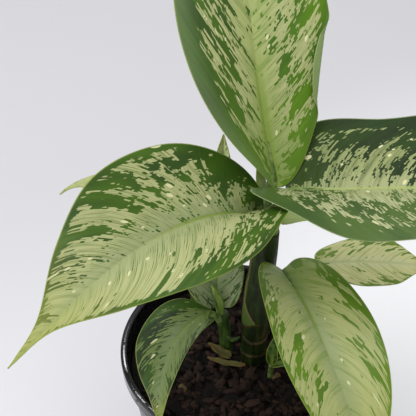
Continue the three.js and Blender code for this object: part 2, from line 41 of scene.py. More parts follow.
# ---- camera and view ----
# The plant stands on a pale table and is looked down on from the front, a little to the left,
# close enough for the leaf tips and the pot's foot to run out of the picture.
CAMERA_EYE = (-0.0149, -0.3309, 0.5216)
CAMERA_DOWN = 42
FOCAL_PIXELS = 900
PICTURE_PIXELS = 416
SENSOR_MM = 36

lens = bpy.data.cameras.new("plant_camera")
lens.sensor_width = SENSOR_MM
lens.lens = SENSOR_MM * FOCAL_PIXELS / PICTURE_PIXELS
lens.clip_start = 0.01
camera = bpy.data.objects.new("plant_camera", lens)
camera.location = CAMERA_EYE
camera.rotation_euler = (math.radians(90 - CAMERA_DOWN), 0, 0)
scene.collection.objects.link(camera)
scene.camera = camera
scene.view_settings.view_transform = "Standard"
scene.view_settings.look = "None"

# ---- pot ----
# The pot is a thin nursery pot of black polypropylene, moulded in one shot: a tapered wall, a
# deeper collar with a rolled lip for stacking and lifting, and a flat foot with drain holes.
MM = 0.001
POT_OUTLINE = [
    (0, 0), (47.3, 0), (48.5, 1.2), (61.3, 108.3), (64.0, 108.9), (64.7, 109.8), (64.9, 115.6),
    (65.0, 117.3), (64.5, 118), (61.9, 118), (61.3, 117.4), (61.2, 113.5), (59.9, 107.5),
    (47.0, 2.2), (46.4, 1.6), (0, 1.6),
]
POT_ROUNDING, POT_SIDES = 0.4, 180
DRAIN_HOLES, DRAIN_RADIUS, DRAIN_CIRCLE = 8, 4.5, 34
DRILL_REACH, DRILL_SIDES = 5, 32
LIP_LOW, LIP_FADE = 111, 2


def round_corners(outline, radius, steps=5):
    """Outline with each inner corner replaced by a curve: a parabola from the point one radius
    before the corner to the point one radius after it, with the corner as its control point."""
    p = np.array(outline, float)
    before, corner, after = p[:-2], p[1:-1], p[2:]

    def toward(other):
        step = other - corner
        length = np.linalg.norm(step, axis=1, keepdims=True)
        return corner + step / length * np.minimum(radius, 0.45 * length)

    start, end = toward(before), toward(after)
    u = np.linspace(0, 1, steps)[None, :, None]
    curve = (1 - u) ** 2 * start[:, None] + 2 * u * (1 - u) * corner[:, None] + u * u * end[:, None]
    return np.vstack([p[:1], curve.reshape(-1, 2), p[-1:]])


def ring_angles(count):
    """Angles of evenly spaced points round a ring, in radians."""
    return 2 * np.pi * np.arange(count) / count


def turned_shell(outline, sides):
    """Closed body of revolution: each outline point (radius, height) goes round in a ring, and
    the first and last points lie on the axis. Gives vertices and faces."""
    angle = ring_angles(sides)
    r, z = outline[1:-1, 0][:, None], outline[1:-1, 1][:, None]
    rings = np.stack([r * np.cos(angle), r * np.sin(angle), z + 0 * angle], -1)
    return close_rings(rings, (0, 0, outline[0, 1]), (0, 0, outline[-1, 1]))


def close_rings(rings, first_pole=None, last_pole=None):
    """Rings of points joined into a closed skin: quads between neighbouring rings, and a fan of
    triangles to a pole at each end, which is the middle of the end ring unless it is given."""
    count, around = rings.shape[:2]
    first = rings[0].mean(0) if first_pole is None else np.array(first_pole, float)
    last = rings[-1].mean(0) if last_pole is None else np.array(last_pole, float)
    vertices = np.vstack([rings.reshape(-1, 3), first, last])
    a = (np.arange(count - 1)[:, None] * around + np.arange(around)).ravel()
    b = (np.arange(count - 1)[:, None] * around + (np.arange(around) + 1) % around).ravel()
    quads = np.stack([a, b, b + around, a + around], -1)
    j = np.arange(around)
    k = (j + 1) % around
    top = (count - 1) * around
    fans = np.vstack([
        np.stack([np.full(around, count * around), k, j], -1),
        np.stack([np.full(around, count * around + 1), top + j, top + k], -1),
    ])
    return vertices, quads.tolist() + fans.tolist()


def make_mesh(name, shells, values=None):
    """One mesh object from closed shells (vertices in millimetres, faces), placed in metres and
    smooth shaded. Values are named vectors, one for each vertex, kept as point attributes."""
    vertices = np.vstack([shell[0] for shell in shells]) * MM
    faces = []
    start = 0
    for points, shell_faces in shells:
        faces += [[k + start for k in face] for face in shell_faces]
        start += len(points)
    mesh = bpy.data.meshes.new(name)
    mesh.from_pydata(vertices.tolist(), [], faces)
    mesh.polygons.foreach_set("use_smooth", np.ones(len(mesh.polygons), bool))
    for key, array in (values or {}).items():
        attribute = mesh.attributes.new(key, "FLOAT_VECTOR", "POINT")
        attribute.data.foreach_set("vector", np.ascontiguousarray(array, np.float32).ravel())
    mesh.update()
    piece = bpy.data.objects.new(name, mesh)
    scene.collection.objects.link(piece)
    return piece


def dress(piece, material, node):
    """Gives a piece its material, lets it ride with the plant and stand for its CAD node."""
    piece.data.materials.append(material)
    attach(piece, "root")
    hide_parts(node)


def add_node(tree, kind, sockets=None, **settings):
    """Adds a shader node. Each named socket gets a constant, or a link from another output."""
    made = tree.nodes.new(kind)
    for key, value in settings.items():
        setattr(made, key, value)
    for key, value in (sockets or {}).items():
        if isinstance(value, bpy.types.NodeSocket):
            tree.links.new(value, made.inputs[key])
        else:
            made.inputs[key].default_value = value
    return made


def calc(tree, operation, a, b=0.0, c=0.0, clamp=False):
    """One Math node on up to three values, giving its output."""
    return add_node(tree, "ShaderNodeMath", {0: a, 1: b, 2: c},
                    operation=operation, use_clamp=clamp).outputs[0]


def times(tree, a, b):
    """Product of two values."""
    return calc(tree, "MULTIPLY", a, b)


def step_up(tree, value, low, high):
    """0 below low, 1 above high and a smooth rise between them. It falls where low > high."""
    return add_node(tree, "ShaderNodeMapRange",
                    {"Value": value, "From Min": low, "From Max": high, "To Min": 0.0, "To Max": 1.0},
                    interpolation_type="SMOOTHSTEP").outputs[0]


def blend(tree, share, first, second):
    """Colour mixed from the first to the second by the share."""
    return add_node(tree, "ShaderNodeMix", {0: share, 6: first, 7: second}, data_type="RGBA").outputs[2]


def noise(tree, point, scale, detail=2.0, roughness=0.5):
    """Noise value of about 0.2 to 0.8 at a point."""
    sockets = {"Vector": point, "Scale": scale, "Detail": detail, "Roughness": roughness}
    return add_node(tree, "ShaderNodeTexNoise", sockets).outputs[0]


def object_point(tree):
    """The point on the piece, in metres."""
    return add_node(tree, "ShaderNodeTexCoord").outputs["Object"]


def xyz(tree, vector):
    """The three values of a vector."""
    return add_node(tree, "ShaderNodeSeparateXYZ", {0: vector}).outputs


def srgb(red, green, blue):
    """Display colour 0 to 255 as the linear colour that a shader takes."""
    share = np.array([red, green, blue]) / 255
    linear = np.where(share <= 0.04045, share / 12.92, ((share + 0.055) / 1.055) ** 2.4)
    return (*[float(x) for x in linear], 1.0)


def new_material(name, **constants):
    """Material with one Principled shader; named constants are set on the shader's own sockets."""
    material = bpy.data.materials.new(name)
    material.use_nodes = True
    tree = material.node_tree
    shader = tree.nodes["Principled BSDF"]
    for key, value in constants.items():
        shader.inputs[key.replace("_", " ")].default_value = value
    return material, tree, shader


def finish_skin(tree, shader, colour, roughness=None, height=None, strength=0.5, depth=0.3):
    """Feeds the shader a colour, a roughness, and the bump of a height with a depth in mm."""
    tree.links.new(colour, shader.inputs["Base Color"])
    if roughness is not None:
        tree.links.new(roughness, shader.inputs["Roughness"])
    if height is not None:
        sockets = {"Strength": strength, "Distance": depth * MM, "Height": height}
        bump = add_node(tree, "ShaderNodeBump", sockets)
        tree.links.new(bump.outputs[0], shader.inputs["Normal"])


pot_shell = turned_shell(round_corners(POT_OUTLINE, POT_ROUNDING), POT_SIDES)
pot = make_mesh("nursery_pot", [pot_shell])
drill_outline = np.array([(0, -1), (1, -1), (1, 1), (0, 1)], float)
drill_points, drill_faces = turned_shell(drill_outline * [DRAIN_RADIUS, DRILL_REACH], DRILL_SIDES)
drills = make_mesh("drain_drills", [
    (drill_points + [DRAIN_CIRCLE * math.cos(a), DRAIN_CIRCLE * math.sin(a), 0], drill_faces)
    for a in ring_angles(DRAIN_HOLES) + math.pi / DRAIN_HOLES
])
drill_cut = pot.modifiers.new("drain_holes", "BOOLEAN")
drill_cut.object = drills
drill_cut.operation = "DIFFERENCE"
bpy.context.view_layer.update()
drilled = bpy.data.meshes.new_from_object(pot.evaluated_get(bpy.context.evaluated_depsgraph_get()))
pot.modifiers.clear()
pot.data = drilled
bpy.data.objects.remove(drills)

# The plastic is black with a thin haze of dust and fine scuffs. The lip is polished by hands, and
# small dull nicks break its shine.
BLACK, DUSTY_BLACK = srgb(22, 22, 24), srgb(34, 33, 33)
ROUGH_LEAST, ROUGH_HAZE, ROUGH_POLISH, ROUGH_NICK = 0.16, 0.22, -0.16, 0.4
plastic, tree, shader = new_material("black_plastic", Specular_IOR_Level=0.4)
spot = object_point(tree)
dust_and_sheen = noise(tree, spot, 22.0, 3.0)
black = blend(tree, step_up(tree, dust_and_sheen, 0.45, 0.75), BLACK, DUSTY_BLACK)
polish = step_up(tree, xyz(tree, spot)[2], LIP_LOW * MM, (LIP_LOW + LIP_FADE) * MM)
nick = times(tree, step_up(tree, noise(tree, spot, 230.0, 1.0), 0.63, 0.66), polish)
rough = calc(tree, "MULTIPLY_ADD", dust_and_sheen, ROUGH_HAZE, ROUGH_LEAST)
rough = calc(tree, "MULTIPLY_ADD", polish, ROUGH_POLISH, rough)
rough = calc(tree, "MULTIPLY_ADD", nick, ROUGH_NICK, rough)
scuff = times(tree, noise(tree, spot, 420.0), calc(tree, "SUBTRACT", 1.0, polish))
finish_skin(tree, shader, black, rough, scuff, strength=0.12, depth=0.4)
dress(pot, plastic, "pot")

# ---- soil ----
# The pot is filled with a coarse potting mix of peat and chopped bark. The mix is pressed down
# a little below the rim, and the bark chips lie loose on it at all angles.
SOIL_TOP, SOIL_LOW, SOIL_WAVE = 105, 2.0, 1.1
SOIL_EDGE, SOIL_FOOT, SOIL_LEVEL_SHARE = 59.2, 46.6, 0.97
CRUMB_COUNT, CRUMB_LENGTH, CRUMB_STEP, CRUMB_HEIGHT = 8, 5.5, 0.8, 0.05
CHIP_COUNT, CHIP_SEED, CHIP_SPREAD = 620, 11, 55.5
CHIP_CUTS = ((-1, -0.3, 0.35, 1), (-1, 0, 1), (-1, 0, 1))
CHIP_SIZES = ((1.2, 4.4), (0.8, 2.4), (0.5, 1.3))
CHIP_TURNS = (0.55, 0.45, math.pi)
CHIP_SWELL, CHIP_TAPER, CHIP_LIFT = 0.22, 0.35, 0.5


def soil_height(x, y):
    """Height of the mix: low waves of three lengths, in millimetres."""
    wave = (np.sin(x * 0.19 + 1.1) * np.cos(y * 0.23 + 0.4)
            + 0.6 * np.sin(x * 0.41 - y * 0.33) + 0.4 * np.cos(x * 0.27 + y * 0.52 + 2))
    return SOIL_TOP + SOIL_WAVE * wave


def crumbs(x, y):
    """Fine unevenness: the sum of crossing sine waves, each shorter and lower than the last."""
    total = 0
    for k in range(CRUMB_COUNT):
        turn, length = 2.4 * k, CRUMB_LENGTH * CRUMB_STEP ** k
        along = x * np.cos(turn) + y * np.sin(turn)
        total = total + length * CRUMB_HEIGHT * np.sin(along * 6.3 / length + 1.7 * k)
    return total


def soil_body(rings=90, around=160):
    """Closed body of the mix: a disc of rings with the soil height plus crumbs, that fades to a
    level edge, then down the pot's wall to a flat bottom."""
    share = np.linspace(0, 1, rings + 1)[1:, None]
    angle = ring_angles(around)
    x, y = share * SOIL_EDGE * np.cos(angle), share * SOIL_EDGE * np.sin(angle)
    z = np.where(share > SOIL_LEVEL_SHARE, SOIL_TOP, soil_height(x, y) + crumbs(x, y))
    low = [(SOIL_EDGE - 0.2, SOIL_TOP - 1), (SOIL_FOOT, SOIL_LOW + 0.5), (SOIL_FOOT - 0.5, SOIL_LOW)]
    sides = [np.stack([r * np.cos(angle), r * np.sin(angle), h + 0 * angle], -1) for r, h in low]
    body = np.concatenate([np.stack([x, y, z], -1), np.array(sides)])[::-1]
    return close_rings(body, (0, 0, SOIL_LOW), (0, 0, SOIL_TOP))


def block_faces(block, cuts):
    """Quads over the six sides of a block of grid points, facing outwards. Cuts are the levels of
    the grid along each axis."""
    index = {tuple(point): k for k, point in enumerate(block)}
    faces = []
    for axis in range(3):
        first, second = [a for a in range(3) if a != axis]
        for side in (-1, 1):
            for i in range(len(cuts[first]) - 1):
                for j in range(len(cuts[second]) - 1):
                    corners = []
                    for di, dj in ((0, 0), (1, 0), (1, 1), (0, 1)):
                        point = [side] * 3
                        point[first], point[second] = cuts[first][i + di], cuts[second][j + dj]
                        corners.append(index[tuple(point)])
                    inward = (side > 0) == (axis == 1)
                    faces.append(corners[::-1] if inward else corners)
    return faces


def bark_chips(count, seed):
    """Chips of bark: blocks of 3 by 2 by 2 cells swollen at random and tapered, each turned by
    three random angles and laid on the mix. Gives shells, and one random tone for each vertex."""
    draw = np.random.default_rng(seed)
    block = np.array([(x, y, z) for x in CHIP_CUTS[0] for y in CHIP_CUTS[1] for z in CHIP_CUTS[2]])
    faces = block_faces(block, CHIP_CUTS)
    radius = CHIP_SPREAD * np.sqrt(draw.random(count))
    angle = 2 * np.pi * draw.random(count)
    size = np.stack([draw.uniform(least, most, count) for least, most in CHIP_SIZES], -1)
    x, y = radius * np.cos(angle), radius * np.sin(angle)
    swell = 1 + CHIP_SWELL * draw.standard_normal((count, len(block), 3))
    points = block[None] * swell * size[:, None]
    points[..., 1] *= 1 - CHIP_TAPER * np.abs(block[None, :, 0])
    turns = draw.uniform(-1, 1, (count, 3)) * CHIP_TURNS
    for axis, (i, j) in enumerate(((1, 2), (2, 0), (0, 1))):
        c, s = np.cos(turns[:, axis])[:, None], np.sin(turns[:, axis])[:, None]
        a, b = points[..., i].copy(), points[..., j].copy()
        points[..., i], points[..., j] = a * c - b * s, a * s + b * c
    points += np.stack([x, y, soil_height(x, y) + CHIP_LIFT * size[:, 2]], -1)[:, None]
    tone = draw.random(count)
    return [(chip, faces) for chip in points], np.repeat(tone, len(block))


mix_shell = soil_body()
chip_shells, chip_tone = bark_chips(CHIP_COUNT, CHIP_SEED)
tone = np.concatenate([np.full(len(mix_shell[0]), -1.0), chip_tone])
soil = make_mesh("potting_mix", [mix_shell, *chip_shells], {"chip": np.stack([tone] * 3, -1)})

# The mix is nearly black peat with brown specks. A chip's tone of 0 to 1 sets its brown, and the
# few chips of the highest tones are pale wood.
PEAT, BROWN_PEAT, CREVICE = srgb(13, 11, 9), srgb(36, 28, 23), srgb(10, 8, 7)
DARK_BARK, BARK, PALE_WOOD = srgb(16, 12, 10), srgb(70, 50, 42), srgb(122, 100, 68)
earth, tree, shader = new_material("potting_mix", Roughness=0.9, Specular_IOR_Level=0.25)
spot = object_point(tree)
chip = add_node(tree, "ShaderNodeAttribute", attribute_name="chip").outputs["Fac"]
grain = noise(tree, spot, 900.0, 4.0, 0.65)
ground = blend(tree, noise(tree, spot, 160.0, 3.0), PEAT, BROWN_PEAT)
bark = blend(tree, chip, DARK_BARK, BARK)
bark = blend(tree, step_up(tree, chip, 0.975, 0.98), bark, PALE_WOOD)
mixed = blend(tree, step_up(tree, chip, -0.2, 0.0), ground, bark)
mixed = blend(tree, grain, mixed, blend(tree, 0.5, mixed, CREVICE))
finish_skin(tree, shader, mixed, height=grain, strength=0.8, depth=0.8)
dress(soil, earth, "soil")

# ---- stems ----
# The main stem is a bundle of fleshy leaf stalks wrapped round each other, with the scars of
# fallen leaves as rings at its foot and the torn end of an old sheath round its middle. A side
# shoot and a back shoot stand beside it, all rooted in the mix.
MAIN_PATH = [(11, 1, 86), (11, 1, 108), (11.7, 3, 128), (13, 5, 160), (14.8, 6, 186),
             (15.5, 6.5, 202)]
MAIN_RADII = [7, 7.2, 7.3, 7.2, 7.3, 7.3, 7.2, 7, 6.6]
RING_HEIGHTS, RING_SIDE = (113, 123.5), 5.3
RING_WIDTH, RING_RISE, RING_DIP, DIP_ABOVE = 0.9, 0.4, 0.3, 2
SCAR_SIDE, SCAR_HEIGHT, SCAR_TILT, SCAR_WIDE, SCAR_TALL = 5.35, 129, 9, 0.28, 3
SHEATH_LOW, SHEATH_HIGH, SHEATH_THICK, SHEATH_THINS = 137, 168, 0.8, 0.45
SEAM_BACK, SEAM_FRONT, SEAM_TURN, SEAM_TWIST = 0.6, 3.45, 1.15, 0.008
SEAM_GROOVE, SEAM_STEP = 0.32, 0.25


def smooth_path(points, count):
    """Points at even steps of length on a smooth curve through the given points. Between two of
    them it is a cubic whose end slopes follow from the neighbours, with the square root of each
    step's length as its span."""
    p = np.array(points, float)
    p = np.vstack([2 * p[0] - p[1], p, 2 * p[-1] - p[-2]])
    u = np.linspace(0, 1, 60)[:, None]
    parts = []
    for a, b, c, d in zip(p[:-3], p[1:-2], p[2:-1], p[3:]):
        ab, bc, cd = (max(np.linalg.norm(y - x), 1e-6) ** 0.5 for x, y in ((a, b), (b, c), (c, d)))
        start = ((b - a) / ab - (c - a) / (ab + bc) + (c - b) / bc) * bc
        end = ((c - b) / bc - (d - b) / (bc + cd) + (d - c) / cd) * bc
        parts.append(b + start * u + (-3 * b + 3 * c - 2 * start - end) * u ** 2
                     + (2 * b - 2 * c + start + end) * u ** 3)
    line = np.vstack(parts)
    length = np.concatenate([[0], np.cumsum(np.linalg.norm(np.diff(line, axis=0), axis=1))])
    even = np.linspace(0, length[-1], count)
    return np.stack([np.interp(even, length, line[:, k]) for k in range(3)], -1)


def tube_rings(path, radius, around):
    """Rings round a path. Radius is a value for each ring, or for each ring and angle. Each ring
    is square to the path, and its first side is the horizontal across the path's chord."""
    tangent = np.gradient(path, axis=0)
    tangent /= np.linalg.norm(tangent, axis=1, keepdims=True)
    chord = path[-1] - path[0]
    across = np.array([chord[1], -chord[0], 0.0])
    if np.linalg.norm(across) < 0.15 * np.linalg.norm(chord):
        across = np.array([1.0, 0.0, 0.0])
    side = across - tangent * (tangent @ across)[:, None]
    side /= np.linalg.norm(side, axis=1, keepdims=True)
    other = np.cross(tangent, side)
    angle = ring_angles(around)
    radius = np.asarray(radius, float)
    radius = radius[:, None] if radius.ndim == 1 else radius
    return (path[:, None] + (radius * np.cos(angle))[..., None] * side[:, None]
            + (radius * np.sin(angle))[..., None] * other[:, None])


def listed(values, share):
    """Values spread evenly along 0 to 1, read at a share."""
    return np.interp(share, np.linspace(0, 1, len(values)), values)


def bell(x, width):
    """Bell of height 1 round zero: exp(-(x / width)^2)."""
    return np.exp(-(x / width) ** 2)


def ramp(x, start, end):
    """0 at start, 1 at end, straight between them and level beyond."""
    return np.clip((x - start) / (end - start), 0, 1)


def main_stem(rings=320, around=168):
    """The main stem's skin: a round rod with a raised scar at each ring height, two overlapping
    sheath edges that run up it, of which one turns to the front below, and an old sheath whose
    lower and upper lips are torn in waves. Gives the shell, and for each vertex how near it is to
    a sheath edge and to a torn lip or a scar, as bells of 0 to 1, and 1 on the old sheath."""
    path = smooth_path(MAIN_PATH, rings)
    angle = ring_angles(around)
    z = path[:, 2][:, None] + 0 * angle
    radius = listed(MAIN_RADII, np.linspace(0, 1, rings))[:, None] + 0 * angle
    scar = 0 * z
    for height in RING_HEIGHTS:
        above = z - (height + 0.6 * np.sin(2 * angle + 1) + 0.4 * np.sin(3 * angle + height))
        radius = radius + RING_RISE * bell(above, RING_WIDTH)
        radius = radius - RING_DIP * bell(above - DIP_ABOVE, RING_WIDTH)
        kept = np.clip(0.35 + 0.9 * np.cos(angle - RING_SIDE), 0.1, 1)
        scar = scar + kept * bell(above - 0.6, 0.7)
    low = SHEATH_LOW + 2.2 * np.sin(angle + 2.2) + 0.8 * np.sin(3 * angle)
    high = SHEATH_HIGH + 1.6 * np.sin(angle) + 0.7 * np.sin(4 * angle + 1)
    worn = 1 / (1 + np.exp(-(z - low) / 0.18)) * (1 / (1 + np.exp((z - high) / 0.5)))
    radius = radius + SHEATH_THICK * worn * (1 - SHEATH_THINS * (z - low) / (high - low))
    seam = 0 * z
    back, front = SEAM_BACK + SEAM_TWIST * (z - 120), SEAM_FRONT + SEAM_TURN * ramp(z, 152, 140)
    for start in (back, front):
        phase = (angle - start) % (2 * np.pi)
        radius = radius - SEAM_GROOVE * bell(phase, 0.10) - SEAM_STEP * np.exp(-phase / 0.9)
        seam = seam + bell((phase + np.pi) % (2 * np.pi) - np.pi + 0.04, 0.06)
    old = ramp(phase, 4.4, 4.5) * ramp(z - low, 0, 0.6) * ramp(z, 170, 150)
    seam = seam * ramp(z - low, 0, 2)
    aside = angle - SCAR_SIDE
    scar = scar + bell(z - low + 0.8, 0.9)
    scar = scar + 1.2 * bell(aside, SCAR_WIDE) * bell(z - SCAR_HEIGHT - SCAR_TILT * aside, SCAR_TALL)
    marks = np.stack([seam, scar, old], -1).reshape(-1, 3)
    return close_rings(tube_rings(path, radius, around)), np.vstack([marks, np.zeros((2, 3))])


OLD_SHEATH, TORN_EDGE, SCAR_BROWN = srgb(92, 116, 52), srgb(132, 116, 72), srgb(92, 66, 34)


def attribute(tree, name):
    """A point attribute of the mesh, as a vector."""
    return add_node(tree, "ShaderNodeAttribute", attribute_name=name).outputs["Vector"]


def lay_over(tree, colour, mask, strength, paint):
    """Colour with a paint over it where the mask is 1, covering it by the strength."""
    return blend(tree, times(tree, mask, strength), colour, paint)


def stem_material(name, dark, light, dry):
    """Live stalk skin: long pale and dark streaks along the stalk, flecks, drier blotches, and
    tan sheath edges and brown scars where the stem has them."""
    material, tree, shader = new_material(name, Specular_IOR_Level=0.25)
    spot = object_point(tree)
    long_spot = add_node(tree, "ShaderNodeMapping", {"Vector": spot, "Scale": (1, 1, 0.12)}).outputs[0]
    streak = noise(tree, long_spot, 420.0, 3.0, 0.6)
    broad = noise(tree, spot, 60.0)
    fleck = noise(tree, spot, 700.0)
    skin = blend(tree, step_up(tree, streak, 0.35, 0.7), dark, light)
    skin = blend(tree, step_up(tree, broad, 0.58, 0.8), skin, dry)
    skin = lay_over(tree, skin, step_up(tree, fleck, 0.62, 0.7), 0.35, light)
    seam, scar, old = xyz(tree, attribute(tree, "marks"))
    skin = lay_over(tree, skin, old, 0.85, OLD_SHEATH)
    torn = times(tree, seam, step_up(tree, broad, 0.3, 0.5))
    skin = lay_over(tree, skin, torn, 0.75, TORN_EDGE)
    scar = calc(tree, "MULTIPLY", scar, step_up(tree, streak, 0.3, 0.55), clamp=True)
    skin = lay_over(tree, skin, scar, 0.8, SCAR_BROWN)
    rough = calc(tree, "MULTIPLY_ADD", broad, 0.3, 0.34)
    finish_skin(tree, shader, skin, rough, streak, strength=0.35, depth=0.5)
    return material


stem_shell, stem_marks = main_stem()
stem_main = make_mesh("main_stem", [stem_shell], {"marks": stem_marks})
# The main stem's skin colours are painted darker than its own green, as the shade that the leaves above
# cast on it.
stalk_skin_painted_shade = stem_material("stalk_skin_painted_shade", srgb(22, 32, 8), srgb(44, 60, 18), srgb(44, 42, 18))
dress(stem_main, stalk_skin_painted_shade, "stem_main")

SIDE_PATH = [(-4.2, 5, 88), (-4.3, 5, 106), (-5.2, 6, 122), (-7.2, 8, 137.5)]
SIDE_RADII = [4.3, 4.2, 3.4, 3.9]
COLLAR_PATH = [(-4.5, 3.6, 122.5), (-1, 1.6, 120.5), (3.4, 1.2, 123.5)]
COLLAR_RADII = [0.5, 1.1, 1.4, 1.1, 0.4]
BACK_PATH = [(-22, 24, 88), (-22, 24, 106), (-22, 24.5, 143)]
BACK_RADII = [3.6, 3.4, 3]


def plain_stem(path_points, radii, rings=120, around=56, fold=0.3):
    """A young shoot: a round rod with one sheath edge wound up it and a round top."""
    path = smooth_path(path_points, rings)
    share = np.linspace(0, 1, rings)[:, None]
    phase = (ring_angles(around) - 4.2 - 2.2 * share) % (2 * np.pi)
    radius = listed(radii, share) - fold * np.exp(-phase / 0.8)
    top = np.sqrt(np.clip(1 - ((share - 0.97) / 0.03).clip(0) ** 2, 0.04, 1))
    return close_rings(tube_rings(path, radius * top, around))


def collar(rings=40, around=20):
    """The roll of old sheath that lies across the side shoot's foot: a bent, pointed rod."""
    radius = listed(COLLAR_RADII, np.linspace(0, 1, rings))
    return close_rings(tube_rings(smooth_path(COLLAR_PATH, rings), radius, around))


# The shoots' skin colours are partly painted shade: darker than their own green, as the shade of the
# leaves over them.
shoot_skin_painted_shade = stem_material("shoot_skin_painted_shade", srgb(40, 62, 18), srgb(78, 104, 42), srgb(88, 90, 44))
side_stem = make_mesh("side_shoot", [plain_stem(SIDE_PATH, SIDE_RADII), collar()])
dress(side_stem, shoot_skin_painted_shade, "stem_side")
back_stem = make_mesh("back_shoot", [plain_stem(BACK_PATH, BACK_RADII)])
dress(back_stem, shoot_skin_painted_shade, "stem_back")

# ---- leaves ----
# Each leaf is one thin fleshy blade on a grooved stalk. The midrib stands out below, the side
# veins leave it at a sharp angle and curve to the margin, and the cream and green pattern breaks
# up along those veins. The margin is a thin paler line.
BASE_FADE = 0.07
BLADE_HALF = 0.3
FIRST_ROW, LAST_ROW, END_ROWS = 0.004, 0.992, 0.35
MARGIN_SHIFT = 1.3
VEIN_DEPTH, VEIN_WIDTH = 0.024, 0.15
RIB_HEIGHT, RIB_WIDTH, GROOVE_DEPTH, GROOVE_WIDTH = 0.75, 0.95, 0.16, 0.45
LARGE_LEAF = 100
LARGE_GRID, SMALL_GRID, TINY_GRID, WING_GRID = (300, 56), (150, 34), (70, 14), (60, 10)
COMMON_VEINS = ((0.8, 0.3, 0.7), (0.8, 0.3, 0.7))
PLAIN_BLADE = dict(roll=(0, 0, 0), fold=(10, 6), cup=(0, 0), lobes=(0, 0), wave=0,
                   veins=COMMON_VEINS, vein_step=3, stalk_radius=0)
FULL_LEAF = dict(PLAIN_BLADE, wave=0.03, vein_step=4)

# The midrib starts at the base. Its heading from +X to +Y, its rise and its roll, in degrees,
# are given at the base, the middle and the tip, and the half widths at seven stations. Each half
# climbs by the fold, given at the base and the tip, and near the base by its cup too. Lobes are
# shares of the length, and the wave is a share of the half width. Veins give each half's lean,
# and its curve at the base and the tip. A crease runs from one share of the length to another,
# and turns over by an angle on a radius.
LEAVES = {
    "leaf_top": dict(
        FULL_LEAF, base=(19.3, 11.4, 226), heading=(109, 98, 90), rise=(55, 47, 44),
        roll=(-26, 4, 7), length=203,
        left=(11, 29, 37.5, 38, 29, 15, 4), right=(11.5, 24.5, 38, 37, 29, 15, 4),
        fold=(26, 10), lobes=(0, 0.015),
        stalk=((13.2, 8.5, 194), (13.6, 10.8, 211)), stalk_radius=2.9,
        crease=(0.14, 0.42, 150, 1.3), veins=((1.5, 0.44, 0.45), (0.7, 0.24, 0.6)), vein_step=6.5),
    "leaf_left": dict(
        FULL_LEAF, base=(12, 0, 217), heading=(213, 227, 221), rise=(40, 4, -28),
        roll=(-3, 14, -12), length=161,
        left=(14.5, 29, 40, 38.5, 22.8, 4.4, 0.9), right=(14.5, 30, 40.5, 38, 22.5, 5.8, 1),
        fold=(38, 16), cup=(60, 24), lobes=(0.05, 0.03), wave=0.05,
        stalk=((13.5, 4.5, 190), (13.5, 2.5, 206)), stalk_radius=3,
        veins=((0.74, 0, 1.4), (0.68, -0.8, 1.2)), vein_step=5.6),
    "leaf_right": dict(
        FULL_LEAF, base=(24.5, 10.5, 226.5), heading=(-18, -25, 0), rise=(15, 20, -8),
        roll=(-1, -16, -2), length=160,
        left=(18, 37, 37.2, 37.5, 29.5, 15, 4), right=(16, 32, 43, 35, 29, 15, 4),
        fold=(44, 9), cup=(-60, 5), lobes=(0.13, 0.13),
        stalk=((17.3, 5.5, 190), (19.3, 6, 208), (21.6, 8, 219)), stalk_radius=3,
        veins=((0.2, 0.4, 1.1), (0.76, 0, 0.85)), vein_step=5.6),
    "leaf_front": dict(
        FULL_LEAF, base=(24, -1, 181), heading=(-69, -68, -65.5), rise=(10, -25, -50),
        roll=(14, 1.5, -4), length=120,
        left=(10, 22, 27.5, 27, 22, 12.5, 3), right=(9, 22.5, 27, 27, 21.5, 12, 3),
        fold=(25, 15), lobes=(0.07, 0.07),
        stalk=((15, 3, 148), (22, 0.5, 167)), stalk_radius=2.6,
        veins=((0.9, -0.5, 2), (0.15, 0.3, 0.95)), vein_step=4.8),
    "leaf_low_right": dict(
        FULL_LEAF, base=(47, 30, 153), heading=(-1, -2, 4), rise=(11, 0, -15),
        roll=(-1, -12, -19), length=64,
        left=(6.5, 12, 16, 17, 14.5, 7.5, 1.8), right=(6.5, 12.5, 16.5, 17, 14.5, 7, 1.7),
        fold=(9, 5), lobes=(0.05, 0.05), wave=0.04,
        stalk=((12, 5, 122), (26, 17, 145)), stalk_radius=1.9),
    "leaf_low_left": dict(
        FULL_LEAF, base=(-13.2, -3.3, 151), heading=(230, 248, 277), rise=(27, -2, -47),
        roll=(1, -27, -31), length=79,
        left=(2.6, 10.5, 19, 20.5, 14, 7, 2.5), right=(5, 15.5, 21, 20.5, 14, 6, 2.3),
        fold=(26, 16), stalk=((-7.6, 5.6, 131), (-11, 1.4, 142)), stalk_radius=1.8,
        veins=((1.1, 0.3, 0.5), (0.46, 0.6, 0.8))),
    "leaf_shoot": dict(
        FULL_LEAF, base=(-9.3, 8, 142.5), heading=(100, 92, 88), rise=(74, 77, 74),
        roll=(0, -4, -8), length=52,
        left=(8, 13, 17.5, 18, 13, 5.5, 1.5), right=(7.5, 12, 14.5, 15, 11, 5.5, 1.5),
        fold=(30, 12), cup=(10, 10), lobes=(0.03, 0.03),
        stalk=((-7, 8, 131), (-8.2, 8.4, 137)), stalk_radius=1.8, vein_step=3.6),
    "leaf_back_left": dict(
        FULL_LEAF, base=(-22, 27.5, 185), heading=(165, 161, 180), rise=(33, 8, -48),
        roll=(5, 5, 7), length=87,
        left=(4.7, 9.6, 13, 12.4, 7, 2, 0.8), right=(4.7, 9.6, 13, 12.4, 6, 2.4, 0.8),
        fold=(20, 12), lobes=(0.04, 0.04),
        stalk=((-23, 24.5, 138), (-22.5, 25.5, 165)), stalk_radius=1.8),
    "leaf_back": dict(
        FULL_LEAF, base=(-5.5, 23, 178), heading=(105, 92, 89), rise=(71, 70, 67),
        roll=(6, 5, 3), length=62,
        left=(3.8, 7.6, 10, 10, 7.4, 4, 1.1), right=(3.8, 7.6, 10, 10, 7.2, 3.8, 1.1),
        fold=(40, 35), wave=0.02, stalk=((-20.5, 25, 136), (-14, 25.5, 158)), stalk_radius=1.6),
}

